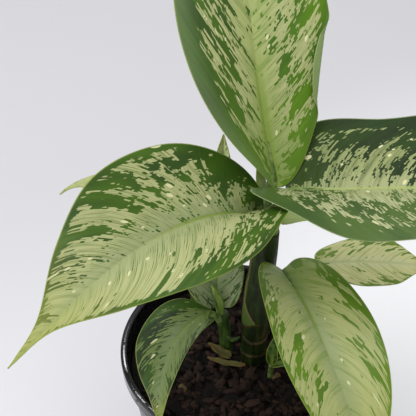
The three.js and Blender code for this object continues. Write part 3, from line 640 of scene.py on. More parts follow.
# A patch is (millimetres along the midrib where its vein starts, millimetres out from the
# midrib, its two sizes, strength), and makes the blade paler above 0 and greener below. A cream
# spot and a brown blemish have no strength.
MARKS = {
    "leaf_top": dict(
        patches=[(40, -14, 5, 2.2, -1), (64, 9, 4, 2.5, -0.9), (48, 14, 5, 2.5, -1),
                 (30, 18, 4, 3, -0.9), (14, 18, 4, 3, -0.8), (60, 22, 5, 4, -1),
                 (17, -18, 6, 3, -0.9), (28, -24, 3, 2, 0.8), (46, 23, 3, 2.5, 0.8),
                 (51, 30, 3, 3, 1), (3, -23, 2, 1.5, 0.7), (12, 14, 3, 3, 0.6),
                 (45, -24, 3, 2.5, 0.8)],
        spots=[(70, 7, 1.6, 1), (48, 26, 1.6, 1), (25, 5, 1.4, 0.9), (45, -24, 1, 0.7),
               (51, -15, 0.9, 0.6)],
        blemishes=[(11, 2, 0.8, 0.6)]),
    "leaf_left": dict(
        patches=[(14, -20, 15, 15, -0.75), (32, -34, 12, 6, -0.45), (15, 12, 12, 13, -0.6),
                 (20, 36, 12, 8, -0.4), (61, -23, 2.6, 3.2, -1.1), (41, -31, 4, 2.5, -0.8),
                 (47, -21, 1.6, 1.4, -1), (52, -15, 1, 1.2, -1), (50, -24, 1.4, 1, -0.9),
                 (63, -15, 0.8, 1.8, -0.9), (88, -8, 0.9, 2.2, -0.9), (98, -9, 0.8, 1.4, -0.8),
                 (103, -11, 1.2, 1.2, -0.8), (25, -28, 2.5, 2, -0.8), (83, 13, 3.5, 3.5, -1.1),
                 (79, 18, 3, 3, -1), (74, 10, 1.6, 1.6, -0.8), (64, 21, 3, 4, -0.9),
                 (64, 15, 2.5, 2.5, -0.8), (56, 16, 2.2, 3, -0.9), (33, 22, 3, 3.5, -0.9),
                 (32, 30, 3, 4, -0.6), (46, 20, 3, 3, -1), (40, 17, 2.2, 2.5, -0.8),
                 (50, 27, 4, 4.5, -1), (62, 27, 3, 4, -1), (24, 32, 5, 4, -1), (21, 22, 4, 4, -0.7),
                 (70, 23, 3.2, 4.5, 1), (46, 25, 2, 2.5, 0.7), (42, 34, 2, 3, 0.9),
                 (57, 25, 1.6, 2, 0.7), (30, 34, 2, 3, 0.8), (88, 16, 3, 4, 0.6), (63, 9, 3, 4, 0.7)],
        spots=[(46, 15, 1.3, 1.7), (46, 8, 0.7, 0.8), (79, -8, 1.2, 1), (97, 9, 0.9, 0.9),
               (102, 12, 1, 0.8), (103, 14, 0.9, 1.2), (101, -6, 1, 0.9), (95, -14, 0.8, 0.8),
               (59, -22, 1, 0.9), (51, -27, 0.9, 0.8), (41, -23, 0.8, 0.8), (71, 7, 1, 0.6),
               (117, 3, 0.9, 0.6)]),
    "leaf_right": dict(
        patches=[(13, -6, 9, 6, -0.5), (8, -16, 6, 5, -0.45), (8, -25, 4, 4, -0.8),
                 (27, -27, 6, 4, -0.9), (16, -12, 2, 2.5, -0.8), (52, -13, 2.5, 3, -0.9),
                 (11, -34, 4, 3, -0.8), (6, -9, 4, 5, -0.8), (9, -29, 1.5, 2.5, 0.9),
                 (14, -31, 2.5, 1.5, 0.9), (23, -21, 2, 4, 0.9), (30, -20, 1.8, 4, 0.9),
                 (38, -17, 2.5, 5, 0.9), (45, -19, 2.5, 4, 0.8), (24, -31, 2, 1.5, 0.9),
                 (31, -34, 4, 2, 0.9), (6, 18, 3, 8, 0.8), (14, 21, 2.5, 5, 0.7),
                 (6, 28, 1.5, 4, 0.9), (22, 27, 2.5, 0.8, 0.9), (33, 25, 2.5, 0.8, 0.9),
                 (44, 27, 2.5, 1.5, 0.9), (44, 7, 5, 4, 0.5)],
        spots=[(10, -18, 1.4, 1.5), (25, -13, 0.9, 0.9), (43, -20, 0.9, 0.7), (44, -17, 1.2, 1),
               (22, 16, 0.7, 0.6), (32, 14, 0.7, 0.6), (46, -25, 0.9, 0.8)],
        blemishes=[(50, 6, 1.2, 0.7)]),
    "leaf_front": dict(
        patches=[(39.5, 15, 2.8, 3.4, -1.5), (35, 11, 1.7, 1.8, -1.1), (20, 20, 1.7, 2, -0.9),
                 (28, 20, 2.2, 1.6, -0.9), (46, 18.5, 2.1, 2.4, -1.4), (52, 18, 1.4, 1.8, -1.1),
                 (57, 10, 1.5, 1.7, -1.2), (61.5, 10, 2, 3.2, -1.5), (66, 13, 1.4, 3.2, -1.3),
                 (67, 8, 1.5, 1.4, -1.2), (11, -21, 1.5, 2.4, -1), (17, -15, 1, 1.4, -1),
                 (16, -19, 0.9, 1.1, -1), (26, -16, 1.4, 1.5, -1), (35, -16, 1.5, 1.5, -1.1),
                 (45, -15, 1.3, 1.2, -1), (4, -22, 1.4, 1.8, -0.9), (8, -19, 0.9, 1.2, -0.8),
                 (3, -8, 1.8, 2.4, -0.9)],
        spots=[(68, -4, 1.2, 0.8), (55, -5, 1, 0.6), (33, -6, 0.8, 0.5), (15, 19, 0.7, 0.5)],
        blemishes=[(44, -5, 0.7, 0.5)]),
    "leaf_low_left": dict(
        patches=[(1, 12, 4, 4, -0.7), (10, 12, 3, 2.5, -0.6), (13, 18, 2.5, 2, -0.9),
                 (21, 12, 1.5, 1.5, -0.7), (28, 12, 2.5, 2, -1), (37, 7, 1, 1.5, -0.7),
                 (45, -7, 2, 1, -1), (51, 7, 1.5, 1, -0.9), (55, -6, 1.5, 0.8, -0.9)],
        spots=[(41, 8, 1, 0.7), (58, 4, 0.8, 0.6)]),
    "leaf_low_right": dict(
        patches=[(-1, -9, 2, 1.5, -1), (4, -7, 1.5, 2, -0.9), (20, -12, 3, 1, -0.9),
                 (27, -12, 3, 1.2, -0.9), (33, -8, 2, 1, -0.8), (37, -9, 1.5, 1, -0.9),
                 (17, -8, 2, 1.2, -0.8), (44, 4, 2, 0.8, -0.7), (41, 7, 1.5, 0.7, -0.9),
                 (25, 13, 4, 0.8, -0.9)],
        blemishes=[(14, 14, 0.8, 1.2)]),
}
WINGS = {
    "leaf_top": dict(
        PLAIN_BLADE, base=(13.8, 11, 203), heading=(135, 135, 135), rise=(78, 81, 81), length=36,
        left=(1.5, 2.2, 2.6, 2.6, 2.4, 1.8, 0.8), right=(3.2, 5.6, 6.6, 6.2, 4.6, 3, 1.2)),
    "leaf_right": dict(
        PLAIN_BLADE, base=(21.5, 6.5, 211.5), heading=(-6, -6, -6), rise=(4, 2, 0), length=19,
        roll=(76, 76, 76), left=(8.5, 9, 7.4, 5, 3, 1.6, 0.8), right=(7, 8, 6.6, 4.6, 2.8, 1.6, 0.8)),
}


def along_leaf(values, t):
    """Parabola through the values at the base, the middle and the tip."""
    return values[0] * (1 - t) * (1 - 2 * t) + values[1] * 4 * t * (1 - t) + values[2] * t * (2 * t - 1)


def half_width(values, t):
    """Half width by a smooth curve through seven stations, spaced evenly in the angle whose
    cosine is 1 - 2t, so that the base starts round and the tip ends narrow."""
    spans = len(values) + 1
    v = np.array([-values[0], 0, *values, 0, values[-1] * 0.6])
    place = np.arccos(np.clip(1 - 2 * t, -1, 1)) / np.pi * spans
    i = np.clip(np.floor(place).astype(int), 0, spans - 1)
    u = place - i
    a, b, c, d = v[i], v[i + 1], v[i + 2], v[i + 3]
    cubic = (2 * b + (c - a) * u + (2 * a - 5 * b + 4 * c - d) * u ** 2
             + (3 * b - a - 3 * c + d) * u ** 3)
    return np.maximum(cubic / 2, 0.25)


def midrib_frame(leaf, t):
    """Point, tangent, side and face direction of the midrib. The tangent has the heading and the
    rise, the point is its sum along the length, and the side is level but for the roll."""
    def direction(share):
        heading, rise = (np.radians(along_leaf(leaf[key], share)) for key in ("heading", "rise"))
        level = np.cos(rise)
        return np.stack([np.cos(heading) * level, np.sin(heading) * level, np.sin(rise)], -1)

    fine = np.linspace(0, 1, 241)
    steps = direction((fine[1:] + fine[:-1]) / 2) * leaf["length"] / 240
    line = np.vstack([np.zeros(3), np.cumsum(steps, 0)]) + leaf["base"]
    point = np.stack([np.interp(t, fine, line[:, k]) for k in range(3)], -1)
    tangent = direction(t)
    heading, roll = (np.radians(along_leaf(leaf[key], t)) for key in ("heading", "roll"))
    level = np.stack([np.sin(heading), -np.cos(heading), 0 * heading], -1)
    face = np.cross(level, tangent)
    c, s = np.cos(roll)[:, None], np.sin(roll)[:, None]
    return point, tangent, level * c + face * s, face * c - level * s


def blade_half(leaf, t, share, sign):
    """One half of the blade's middle surface, as the way out, the way up and the way back from
    the midrib, and the half width. The section climbs with the fold and the cup, and past a
    crease it turns over. The margin waves twice along the length, and the lobe reaches back."""
    width = half_width(leaf["right"] if sign > 0 else leaf["left"], t)[:, None]
    cup, lobe = leaf["cup"][sign > 0], leaf["lobes"][sign > 0]
    base_fold, tip_fold = leaf["fold"]
    fold = tip_fold + (base_fold - tip_fold) * (1 - t) ** 3 + cup * np.exp(-t / BASE_FADE)
    middle = (share[1:] + share[:-1]) / 2
    slope = np.radians(fold)[:, None] + 0 * middle
    if sign > 0 and "crease" in leaf:
        start, end, turn, bend = leaf["crease"]
        first, last = half_width(leaf["right"], np.array([start, end]))
        chord = first + (last - first) * (t - start) / (end - start)
        over = np.where((t > start) & (t < end), np.maximum(width[:, 0] - chord, 0), 0)[:, None]
        arc = bend * math.radians(turn)
        bent = np.clip((middle * width - (width - over)) / arc + 0.5, 0, 1) * np.clip(over / arc, 0, 1)
        slope = slope + math.radians(turn) * bent
    step = np.diff(share) * width
    out = np.cumsum(np.hstack([0 * width, np.cos(slope) * step]), 1)
    up = np.cumsum(np.hstack([0 * width, np.sin(slope) * step]), 1)
    phase = 0 if sign > 0 else MARGIN_SHIFT
    up = up + leaf["wave"] * width * share ** 2.5 * np.sin(4 * np.pi * t + phase)[:, None]
    swell = (t / BASE_FADE * np.exp(1 - t / BASE_FADE))[:, None]
    back = -lobe * leaf["length"] * swell * share ** 1.6
    return out, up, back, width


def vein_start(leaf, t, share, width, sign):
    """Millimetres along the midrib where the side vein through a point starts. A side vein leans
    to the tip in proportion to the share of the half width, and curves with the share squared."""
    lean, base_curve, tip_curve = leaf["veins"][sign > 0]
    curve = base_curve * (1 - t) + tip_curve * t
    reach = width * (1 - np.exp(-t / BASE_FADE))
    start = leaf["length"] * t - reach * (lean * share + curve * share ** 2)
    return start + 0.35 * np.sin(start / 3.1 + sign)


def mark_fields(vein, out, marks):
    """Values of a leaf's own marks at points given by vein start and way out, in millimetres: the
    sum of soft patches, each strength times exp(-r^2), then the cones 1 - r of the nearest cream
    spot and of the nearest blemish, where r is the distance in units of the mark's size."""
    patches = 0 * vein
    for along, side, wide, long, strength in marks.get("patches", ()):
        patches += strength * np.exp(-((vein - along) / wide) ** 2 - ((out - side) / long) ** 2)
    fields = [patches]
    for kind in ("spots", "blemishes"):
        nearest = 0 * vein
        for along, side, wide, long in marks.get(kind, ()):
            r = np.hypot((vein - along) / wide, (out - side) / long)
            nearest = np.maximum(nearest, 1 - r)
        fields.append(nearest)
    return np.stack(fields, -1)


def blade_shell(leaf, rows, columns):
    """Closed blade. Its middle surface is pressed in along each side vein, and the two faces lie
    half a thickness away on either side, thinning to the margin, with a groove along the midrib
    above and a rounded rib below. Gives the shell, and for each vertex (t, side share, face) and
    (millimetres along the midrib where its vein starts, millimetres out, half width)."""
    even = np.linspace(0, 1, rows)
    eased = END_ROWS * (1 - np.cos(np.pi * even)) / 2 + (1 - END_ROWS) * even
    t = FIRST_ROW + (LAST_ROW - FIRST_ROW) * eased
    share = np.linspace(0, 1, columns + 1)
    point, tangent, side, normal = midrib_frame(leaf, t)
    halves = {}
    for sign in (-1, 1):
        out, up, back, width = blade_half(leaf, t, share, sign)
        vein = vein_start(leaf, t[:, None], share, width, sign)
        press = bell((vein / leaf["vein_step"]) % 1 - 0.5, VEIN_WIDTH)
        inland = np.clip(share * 6, 0, 1) * np.clip((1 - share) * 5, 0, 1)
        depth = VEIN_DEPTH * leaf["vein_step"] * inland
        up = up - press * depth * np.clip((1 - t) * 8, 0, 1)[:, None]
        place = (point[:, None] + tangent[:, None] * back[..., None]
                 + side[:, None] * (sign * out)[..., None] + normal[:, None] * up[..., None])
        halves[sign] = place, vein, share * width, width + 0 * share
    v = np.concatenate([-share[:0:-1], share])

    def whole(k):
        return np.concatenate([halves[-1][k][:, :0:-1], halves[1][k]], 1)

    sheet, vein, out, width = (whole(k) for k in range(4))
    across = np.gradient(sheet, axis=1)
    lengthwise = np.gradient(sheet, axis=0)
    outward = np.cross(across, lengthwise)
    outward /= np.linalg.norm(outward, axis=2, keepdims=True)
    edge = np.sqrt(1 - np.abs(v) ** 10)
    rib_size = max(leaf["stalk_radius"], 0.4)
    rib = RIB_HEIGHT * rib_size * (1 - t[:, None]) ** 1.2 * bell(out, RIB_WIDTH * rib_size)
    groove = GROOVE_DEPTH * rib_size * (1 - t[:, None]) ** 0.7 * bell(out, GROOVE_WIDTH * rib_size)
    upper = sheet + outward * (BLADE_HALF * edge - groove)[..., None]
    lower = sheet - outward * (BLADE_HALF * edge + rib * edge)[..., None]

    def ringed(above, below):
        """Values over the upper face, then back over the lower one."""
        return np.concatenate([above, below[:, -2:0:-1]], 1)

    t_all, v_all = t[:, None] + 0 * v, v + 0 * t[:, None]
    face = np.where(np.abs(v_all) < 0.9999, 1.0, 0.0)
    about = np.stack([ringed(t_all, t_all), ringed(v_all, v_all), ringed(face, -face)], -1)
    veins = np.stack([ringed(a, a) for a in (vein, out * np.sign(v), width)], -1)
    base_end, tip_end = [0, 0, 1], [leaf["length"], 0, 1]
    return (close_rings(ringed(upper, lower)),
            np.vstack([about.reshape(-1, 3), base_end, [1, 0, 1]]),
            np.vstack([veins.reshape(-1, 3), base_end, tip_end]))


def stalk_shell(leaf, rings=90, around=28):
    """The stalk: a rod from inside the stem through the stalk's own points, then on under the
    midrib where it thins out. Its upper side is a shallow channel."""
    shares, depths = np.array([0.012, 0.06, 0.12]), np.array([0.75, 0.5, 0.35])
    point, _, _, normal = midrib_frame(leaf, shares)
    under = point - normal * (leaf["stalk_radius"] * depths)[:, None]
    path = smooth_path([*leaf["stalk"], *map(tuple, under)], rings)
    u = np.linspace(0, 1, rings)[:, None]
    radius = listed([1.15, 1.05, 1, 0.9, 0.45], u) * leaf["stalk_radius"]
    channel = 0.16 * bell(ring_angles(around) - np.pi / 2, 0.5) * np.clip(u * 4, 0, 1)
    return close_rings(tube_rings(path, radius * (1 - channel), around))


def blade_part(leaf, grid, kind=0.0):
    """A blade as a part of a leafy mesh, of kind 0, or a sheath wing, of kind 0.5."""
    return kind, *blade_shell(leaf, *grid)


def rod_part(shell):
    """A stalk or any plain shell as a part of a leafy mesh, of kind 1."""
    plain = np.tile([0.0, 0.0, 1.0], (len(shell[0]), 1))
    return 1.0, shell, plain, plain


def leafy_mesh(name, parts, first_marks=None):
    """One mesh of blades and rods, with the point attributes that a blade's finish reads: about,
    vein, marks, which only the first blade may have, and part, which is the kind."""
    kinds, shells, about, veins = zip(*parts)
    kind = np.repeat(kinds, [len(values) for values in about])
    marks = np.zeros((len(kind), 3))
    if first_marks:
        marks[:len(about[0])] = mark_fields(veins[0][:, 0], veins[0][:, 1], first_marks)
    return make_mesh(name, shells, {"about": np.vstack(about), "vein": np.vstack(veins),
                                    "marks": marks, "part": np.stack([kind] * 3, -1)})


def leaf_piece(name, leaf):
    """A whole leaf: the blade, its stalk, and the sheath wing that two of the stalks have."""
    grid = LARGE_GRID if leaf["length"] > LARGE_LEAF else SMALL_GRID
    parts = [blade_part(leaf, grid), rod_part(stalk_shell(leaf))]
    if name in WINGS:
        parts.append(blade_part(WINGS[name], WING_GRID, 0.5))
    return leafy_mesh(name + "_blade", parts, MARKS.get(name))


# The pattern's sizes in millimetres, across the veins and along them, and how much each of its
# noises counts.
PATCH_SIZE, WOBBLE_SIZE, SPECK_SIZE, TONE_SIZE = (6.0, 9.0), (6.0, 14.0), (6.0, 7.5), (18.0, 22.0)
STRIP_LONG, BLOCK_LONG, LINE_LONG, TINT_LONG = 3.8, 6.5, 9.0, 30.0
STRIP_SHARE, BLOCK_SHARE, PATCH_SHARE, WOBBLE_SHARE = 3.0, 0.8, 2.4, 2.0
BUNDLES_PER_LANE, WIDE_BLADE, RAGGED_BORDER = 0.36, 22.0, 6.0
PATTERN_INPUTS = ("Seed", "Left Reach", "Right Reach", "Left Border", "Right Border", "Left Lane",
                  "Right Lane", "Left Mix", "Right Mix", "Slope", "Bias")
PATTERN_OUTPUTS = ("Pale", "Lines", "Lane Tone", "Speck", "Tone", "Height")


def variegation_group():
    """Node group of the leaf pattern. Between two fine veins lies a lane, and each lane is cut
    into pale and green lengths at random. The chance of pale falls with the share of the half
    width, in a border of some millimetres it is nil, and patches of noise and the leaf's own
    marks change it. Further outputs: fine vein lines, a tone for each lane, cream specks, a slow
    tone and the height for the bump."""
    group = bpy.data.node_groups.new("variegation", "ShaderNodeTree")
    for names, way, kind in ((("About", "Vein"), "INPUT", "Vector"), (PATTERN_INPUTS, "INPUT", "Float"),
                             (PATTERN_OUTPUTS, "OUTPUT", "Float")):
        for name in names:
            group.interface.new_socket(name, in_out=way, socket_type="NodeSocket" + kind)
    given = group.nodes.new("NodeGroupInput").outputs
    about, vein = xyz(group, given["About"]), xyz(group, given["Vein"])
    away = calc(group, "ABSOLUTE", about[1])
    right = calc(group, "GREATER_THAN", about[1], 0.0)

    def spread(sizes, shift):
        """Point in the pattern's own plane, in units of the given sizes. Each noise has a shift
        of its own, so that no two are alike."""
        x, y = (calc(group, "DIVIDE", vein[k], sizes[k]) for k in (0, 1))
        z = calc(group, "ADD", given["Seed"], shift)
        return add_node(group, "ShaderNodeCombineXYZ", {0: x, 1: y, 2: z}).outputs[0]

    def of_half(name):
        """The input for the half that the point is on."""
        sockets = {0: right, 2: given["Left " + name], 3: given["Right " + name]}
        return add_node(group, "ShaderNodeMix", sockets, data_type="FLOAT").outputs[0]

    def by_lane(index, step, long, shift):
        """Noise along a lane, in units of the given millimetres, that differs from lane to lane."""
        x = calc(group, "MULTIPLY_ADD", index, step, given["Seed"])
        y = calc(group, "DIVIDE", vein[1], long)
        place = add_node(group, "ShaderNodeCombineXYZ", {0: x, 1: y, 2: shift}).outputs[0]
        return calc(group, "SUBTRACT", noise(group, place, 1.0, 2.0, 0.6), 0.5)

    wobble = times(group, noise(group, spread(WOBBLE_SIZE, 9.3), 1.0, 1.0), WOBBLE_SHARE)
    lane_place = calc(group, "ADD", calc(group, "DIVIDE", vein[0], of_half("Lane")), wobble)
    lane = calc(group, "FLOOR", lane_place)
    bundle = calc(group, "FLOOR", calc(group, "MULTIPLY_ADD", lane_place, BUNDLES_PER_LANE, 0.4))
    strip = by_lane(lane, 3.71, STRIP_LONG, 4.7)
    block = by_lane(bundle, 5.37, BLOCK_LONG, 7.9)
    patch = calc(group, "SUBTRACT", noise(group, spread(PATCH_SIZE, 0.0), 1.0, 2.0, 0.6), 0.5)
    mixed = times(group, patch, PATCH_SHARE)
    mixed = calc(group, "MULTIPLY_ADD", strip, STRIP_SHARE, mixed)
    mixed = calc(group, "MULTIPLY_ADD", block, BLOCK_SHARE, mixed)
    uneven = calc(group, "MULTIPLY_ADD", calc(group, "ABSOLUTE", given["Bias"]), 0.6, of_half("Mix"))
    field = calc(group, "SUBTRACT", of_half("Reach"), away)
    field = calc(group, "MULTIPLY_ADD", field, given["Slope"], given["Bias"])
    field = calc(group, "MULTIPLY_ADD", mixed, uneven, field)
    inside = times(group, calc(group, "SUBTRACT", 1.0, away), vein[2])
    border = calc(group, "MULTIPLY_ADD", calc(group, "ADD", strip, block), RAGGED_BORDER, inside)
    margin = times(group, of_half("Border"), calc(group, "DIVIDE", vein[2], WIDE_BLADE, clamp=True))
    border = step_up(group, calc(group, "SUBTRACT", border, margin), -0.3, 0.3)
    line_name = calc(group, "FLOOR", calc(group, "ADD", lane_place, 0.5))
    strength = step_up(group, by_lane(line_name, 7.13, LINE_LONG, 2.2), -0.08, 0.16)
    off_rib = step_up(group, calc(group, "ABSOLUTE", vein[1]), 1.5, 6.0)
    ripple = step_up(group, calc(group, "PINGPONG", lane_place, 0.5), 0.22, 0.06)
    lines = times(group, ripple, times(group, strength, off_rib))
    cells = add_node(group, "ShaderNodeTexVoronoi", {"Vector": spread(SPECK_SIZE, 1.3), "Scale": 1.0})
    lucky = xyz(group, cells.outputs["Color"])[0]
    size = times(group, step_up(group, lucky, 0.72, 1.0), 0.2)
    results = {
        "Pale": times(group, step_up(group, field, -0.035, 0.035), border),
        "Lines": lines,
        "Lane Tone": by_lane(lane, 9.17, TINT_LONG, 12.4),
        "Speck": step_up(group, calc(group, "SUBTRACT", cells.outputs["Distance"], size), 0.0, -0.04),
        "Tone": noise(group, spread(TONE_SIZE, 6.1), 1.0),
        "Height": calc(group, "MULTIPLY_ADD", lines, -0.6, times(group, strip, 0.8)),
    }
    add_node(group, "NodeGroupOutput", results)
    return group


variegation = variegation_group()
GREEN, DEEP = srgb(66, 100, 10), srgb(44, 72, 12)
CREAM, CREAM_NEAR = srgb(174, 178, 122), srgb(166, 173, 122)
SPOT_CREAM, BLEMISH, TIP_TINT = srgb(222, 220, 172), srgb(118, 84, 52), srgb(148, 154, 58)
MIDDLE, EDGE_LINE, PAINTED_SHEEN = srgb(128, 150, 62), srgb(150, 164, 66), srgb(150, 168, 128)
BELOW, WING_PALE = srgb(146, 164, 110), srgb(196, 214, 138)
STALK_DARK, STALK_LIGHT = srgb(78, 104, 44), srgb(128, 148, 84)
FADED, BLADE_ROUGH = 0.42, 0.32


def blade_material(name, seed, reach=(0.6, 0.6), border=(3.0, 3.0), mix=(1.0, 1.0), slope=1.0,
                   lane=(1.0, 1.0), green=GREEN, deep=DEEP, cream=CREAM, cream_near=CREAM_NEAR,
                   lines=0.5, young=(0.0, GREEN), painted_sheen=(0.0, 0.0), middle=MIDDLE,
                   middle_size=(1.2, 0.5), edge=EDGE_LINE, veins=COMMON_VEINS, tip_start=0.84):
    """Live blade: green and cream from the pattern, thin dark lines and a tone for each lane on
    the cream, a greener base, cream specks and spots, brown blemishes, a yellower tip, a paler
    band along the midrib that fades to the tip, a painted grey sheen and a pale line at the
    margin, a pale grey underside, and stalk and wing colours. A colour is given for the blade or
    for each half, and middle_size is the band's half width in mm and the share of the length it
    fades at."""
    material, tree, shader = new_material(name, Specular_IOR_Level=0.3)
    about_out, vein_out = attribute(tree, "about"), attribute(tree, "vein")
    about, vein, marks = xyz(tree, about_out), xyz(tree, vein_out), xyz(tree, attribute(tree, "marks"))
    part = xyz(tree, attribute(tree, "part"))[0]
    sockets = {"About": about_out, "Vein": vein_out, "Seed": seed, "Slope": slope, "Bias": marks[0]}
    for k, side in enumerate(("Left", "Right")):
        lean, _, tip_curve = veins[k]
        sockets |= {side + " Reach": reach[k], side + " Border": border[k], side + " Mix": mix[k],
                    side + " Lane": lane[k] * math.hypot(1, lean + 0.4 * tip_curve)}
    out = add_node(tree, "ShaderNodeGroup", sockets, node_tree=variegation).outputs
    away = calc(tree, "ABSOLUTE", about[1])
    right = calc(tree, "GREATER_THAN", about[1], 0.0)

    def by_half(colour):
        return blend(tree, right, *colour) if isinstance(colour[0], tuple) else colour

    green, cream = by_half(green), by_half(cream)
    leaf_green = blend(tree, step_up(tree, out["Tone"], 0.35, 0.65), green, by_half(deep))
    leaf_cream = blend(tree, step_up(tree, away, 0.4, 0.05), cream, by_half(cream_near))
    faded = blend(tree, FADED, leaf_cream, green)
    leaf_cream = blend(tree, step_up(tree, out["Lane Tone"], -0.02, 0.2), leaf_cream, faded)
    leaf_cream = lay_over(tree, leaf_cream, out["Lines"], lines, green)
    colour = blend(tree, out["Pale"], leaf_green, leaf_cream)
    colour = lay_over(tree, colour, step_up(tree, about[0], 0.26, 0.02), *young)
    spots = calc(tree, "MAXIMUM", out["Speck"], step_up(tree, marks[1], 0.1, 0.35))
    colour = lay_over(tree, colour, spots, 0.85, SPOT_CREAM)
    colour = lay_over(tree, colour, step_up(tree, marks[2], 0.1, 0.5), 0.8, BLEMISH)
    colour = lay_over(tree, colour, step_up(tree, about[0], tip_start, 1.0), 0.65, TIP_TINT)
    rib_size, rib_end = middle_size
    rib = step_up(tree, calc(tree, "ABSOLUTE", vein[1]), 1.5 * rib_size, 0.5 * rib_size)
    rib = times(tree, rib, step_up(tree, about[0], rib_end, 0.5 * rib_end))
    colour = lay_over(tree, colour, rib, 0.85, middle)
    inside = times(tree, calc(tree, "SUBTRACT", 1.0, away), vein[2])
    # Painted sheen: within about 13 mm of the margin the colour is washed towards a grey green that
    # stands in for a glossy reflection, by a share for each half.
    dust_and_sheen = add_node(tree, "ShaderNodeMix", {0: right, 2: painted_sheen[0], 3: painted_sheen[1]}, data_type="FLOAT")
    colour = lay_over(tree, colour, step_up(tree, inside, 13.0, 2.0), dust_and_sheen.outputs[0], PAINTED_SHEEN)
    colour = lay_over(tree, colour, step_up(tree, inside, 0.6, 0.25), 0.8, edge)
    underside = step_up(tree, about[2], 0.2, -0.2)
    colour = lay_over(tree, colour, underside, 0.72, BELOW)
    mottle = noise(tree, object_point(tree), 260.0)
    stalk = blend(tree, step_up(tree, mottle, 0.4, 0.62), STALK_DARK, STALK_LIGHT)
    colour = blend(tree, step_up(tree, part, 0.7, 0.8), colour, stalk)
    wing = times(tree, step_up(tree, part, 0.3, 0.4), step_up(tree, part, 0.8, 0.7))
    colour = lay_over(tree, colour, wing, 0.95, WING_PALE)
    rough = calc(tree, "MULTIPLY_ADD", out["Tone"], 0.16, BLADE_ROUGH)
    rough = calc(tree, "MULTIPLY_ADD", underside, 0.2, rough)
    finish_skin(tree, shader, colour, rough, out["Height"])
    return material


BLADE_LOOKS = {
    # The top leaf's left half gets a painted sheen near its margin.
    "leaf_top": ("leaf_top", dict(
        seed=3.1, reach=(0.44, 0.64), border=(11, 4.5), slope=1.1, lane=(0.85, 0.85), lines=0.9,
        young=(0.55, srgb(112, 150, 38)), painted_sheen=(0.2, 0), cream_near=srgb(160, 171, 104),
        green=(srgb(66, 100, 12), srgb(84, 124, 6)), deep=(srgb(48, 76, 12), srgb(62, 98, 8)),
        middle=srgb(130, 153, 62), middle_size=(2.6, 0.4))),
    # The left leaf's dark green base tint is partly its own colour and partly painted shade where the
    # blade meets the stem.
    "leaf_left": ("leaf_left", dict(
        seed=8.4, reach=(1.12, 0.84), border=(3, 3.5), slope=0.75, mix=(0.7, 1), lane=(0.8, 0.62),
        lines=1.0, young=(0.4, srgb(60, 94, 20)), cream_near=srgb(156, 165, 114),
        middle_size=(1.0, 0.55), tip_start=0.6)),
    # The right leaf's two halves have lit and shaded copies of its colours: the left half is painted
    # darker as shade, and the right half lighter and greyer as painted sheen.
    "leaf_right": ("leaf_right", dict(
        seed=14.2, reach=(0.46, 0.38), border=(6, 8), slope=1.1, mix=(1, 1.2), lane=(0.72, 0.65),
        lines=0.9, young=(0.3, srgb(84, 112, 48)), green=(srgb(36, 62, 6), srgb(76, 102, 40)),
        deep=(srgb(26, 46, 6), srgb(58, 84, 34)), cream=(srgb(150, 159, 104), srgb(178, 181, 134)),
        cream_near=srgb(164, 170, 120), middle=srgb(164, 176, 108), middle_size=(1.0, 1.6),
        edge=srgb(164, 178, 120))),
    "leaf_front": ("leaf_front", dict(
        seed=21.7, reach=(1.05, 1.1), border=(1.8, 2), slope=0.7, mix=(0.75, 0.65), lines=0.6,
        young=(0.6, srgb(110, 142, 48)), green=srgb(98, 134, 26), deep=srgb(84, 118, 26),
        cream=srgb(176, 181, 118), cream_near=srgb(154, 165, 112), middle_size=(1.0, 0.5),
        tip_start=0.6)),
    "leaf_low_right": ("leaf_pale", dict(
        seed=27.3, reach=(0.95, 1.05), border=(1.2, 1.2), slope=0.8, mix=(0.9, 0.8), lines=0.45,
        young=(0.3, srgb(120, 146, 56)), green=srgb(118, 146, 50), deep=srgb(100, 130, 44),
        cream=srgb(212, 211, 150), cream_near=srgb(208, 209, 158), middle=srgb(190, 196, 140),
        middle_size=(0.8, 1.2))),
    # The low left leaf's colours are all darker than the other leaves', partly painted shade where it
    # lies low beside the pot.
    "leaf_low_left": ("leaf_low", dict(
        seed=33.9, reach=(0.9, 0.5), border=(1.2, 1.5), lines=0.5, lane=(0.8, 0.8),
        cream=srgb(116, 134, 72), cream_near=srgb(124, 140, 92), green=srgb(58, 90, 20),
        deep=srgb(36, 56, 20), middle_size=(0.8, 0.8))),
    "leaf_shoot": ("leaf_young", dict(
        seed=41.5, reach=(1.1, 1.1), border=(0.5, 0.5), slope=0.6, mix=(0.9, 0.9), lane=(0.7, 0.7),
        lines=0.7, green=srgb(78, 106, 44), deep=srgb(62, 88, 38), cream=srgb(154, 166, 122),
        cream_near=srgb(146, 160, 116), middle_size=(0.6, 0.6))),
    "leaf_back_left": ("leaf_pale", dict(
        seed=47.2, reach=(1, 1), border=(0.6, 0.6), lines=0.4, green=srgb(110, 138, 44))),
    "leaf_back": ("leaf_pale", dict(
        seed=52.8, reach=(1.1, 1.1), border=(0.8, 0.8), lines=0.4, green=srgb(118, 150, 62),
        cream=srgb(196, 203, 148))),
}
for leaf_name, leaf in LEAVES.items():
    slot_name, look = BLADE_LOOKS[leaf_name]
    material = blade_material(leaf_name, veins=leaf["veins"], **look)
    dress(leaf_piece(leaf_name, leaf), material, leaf_name)

# ---- rolled leaf, plantlet and husks ----
# A new leaf is still rolled up beside the side shoot, a tiny plantlet stands by the main stem,
# and two dry papery husks of old sheaths lie at its foot.
ROLLED_PATH = [(-7.6, 4, 140.4), (-8, 5.2, 148), (-10, 6, 154), (-12.8, 6.4, 161)]
ROLLED_RADII = [1.3, 1.9, 2, 1.6, 0.5]


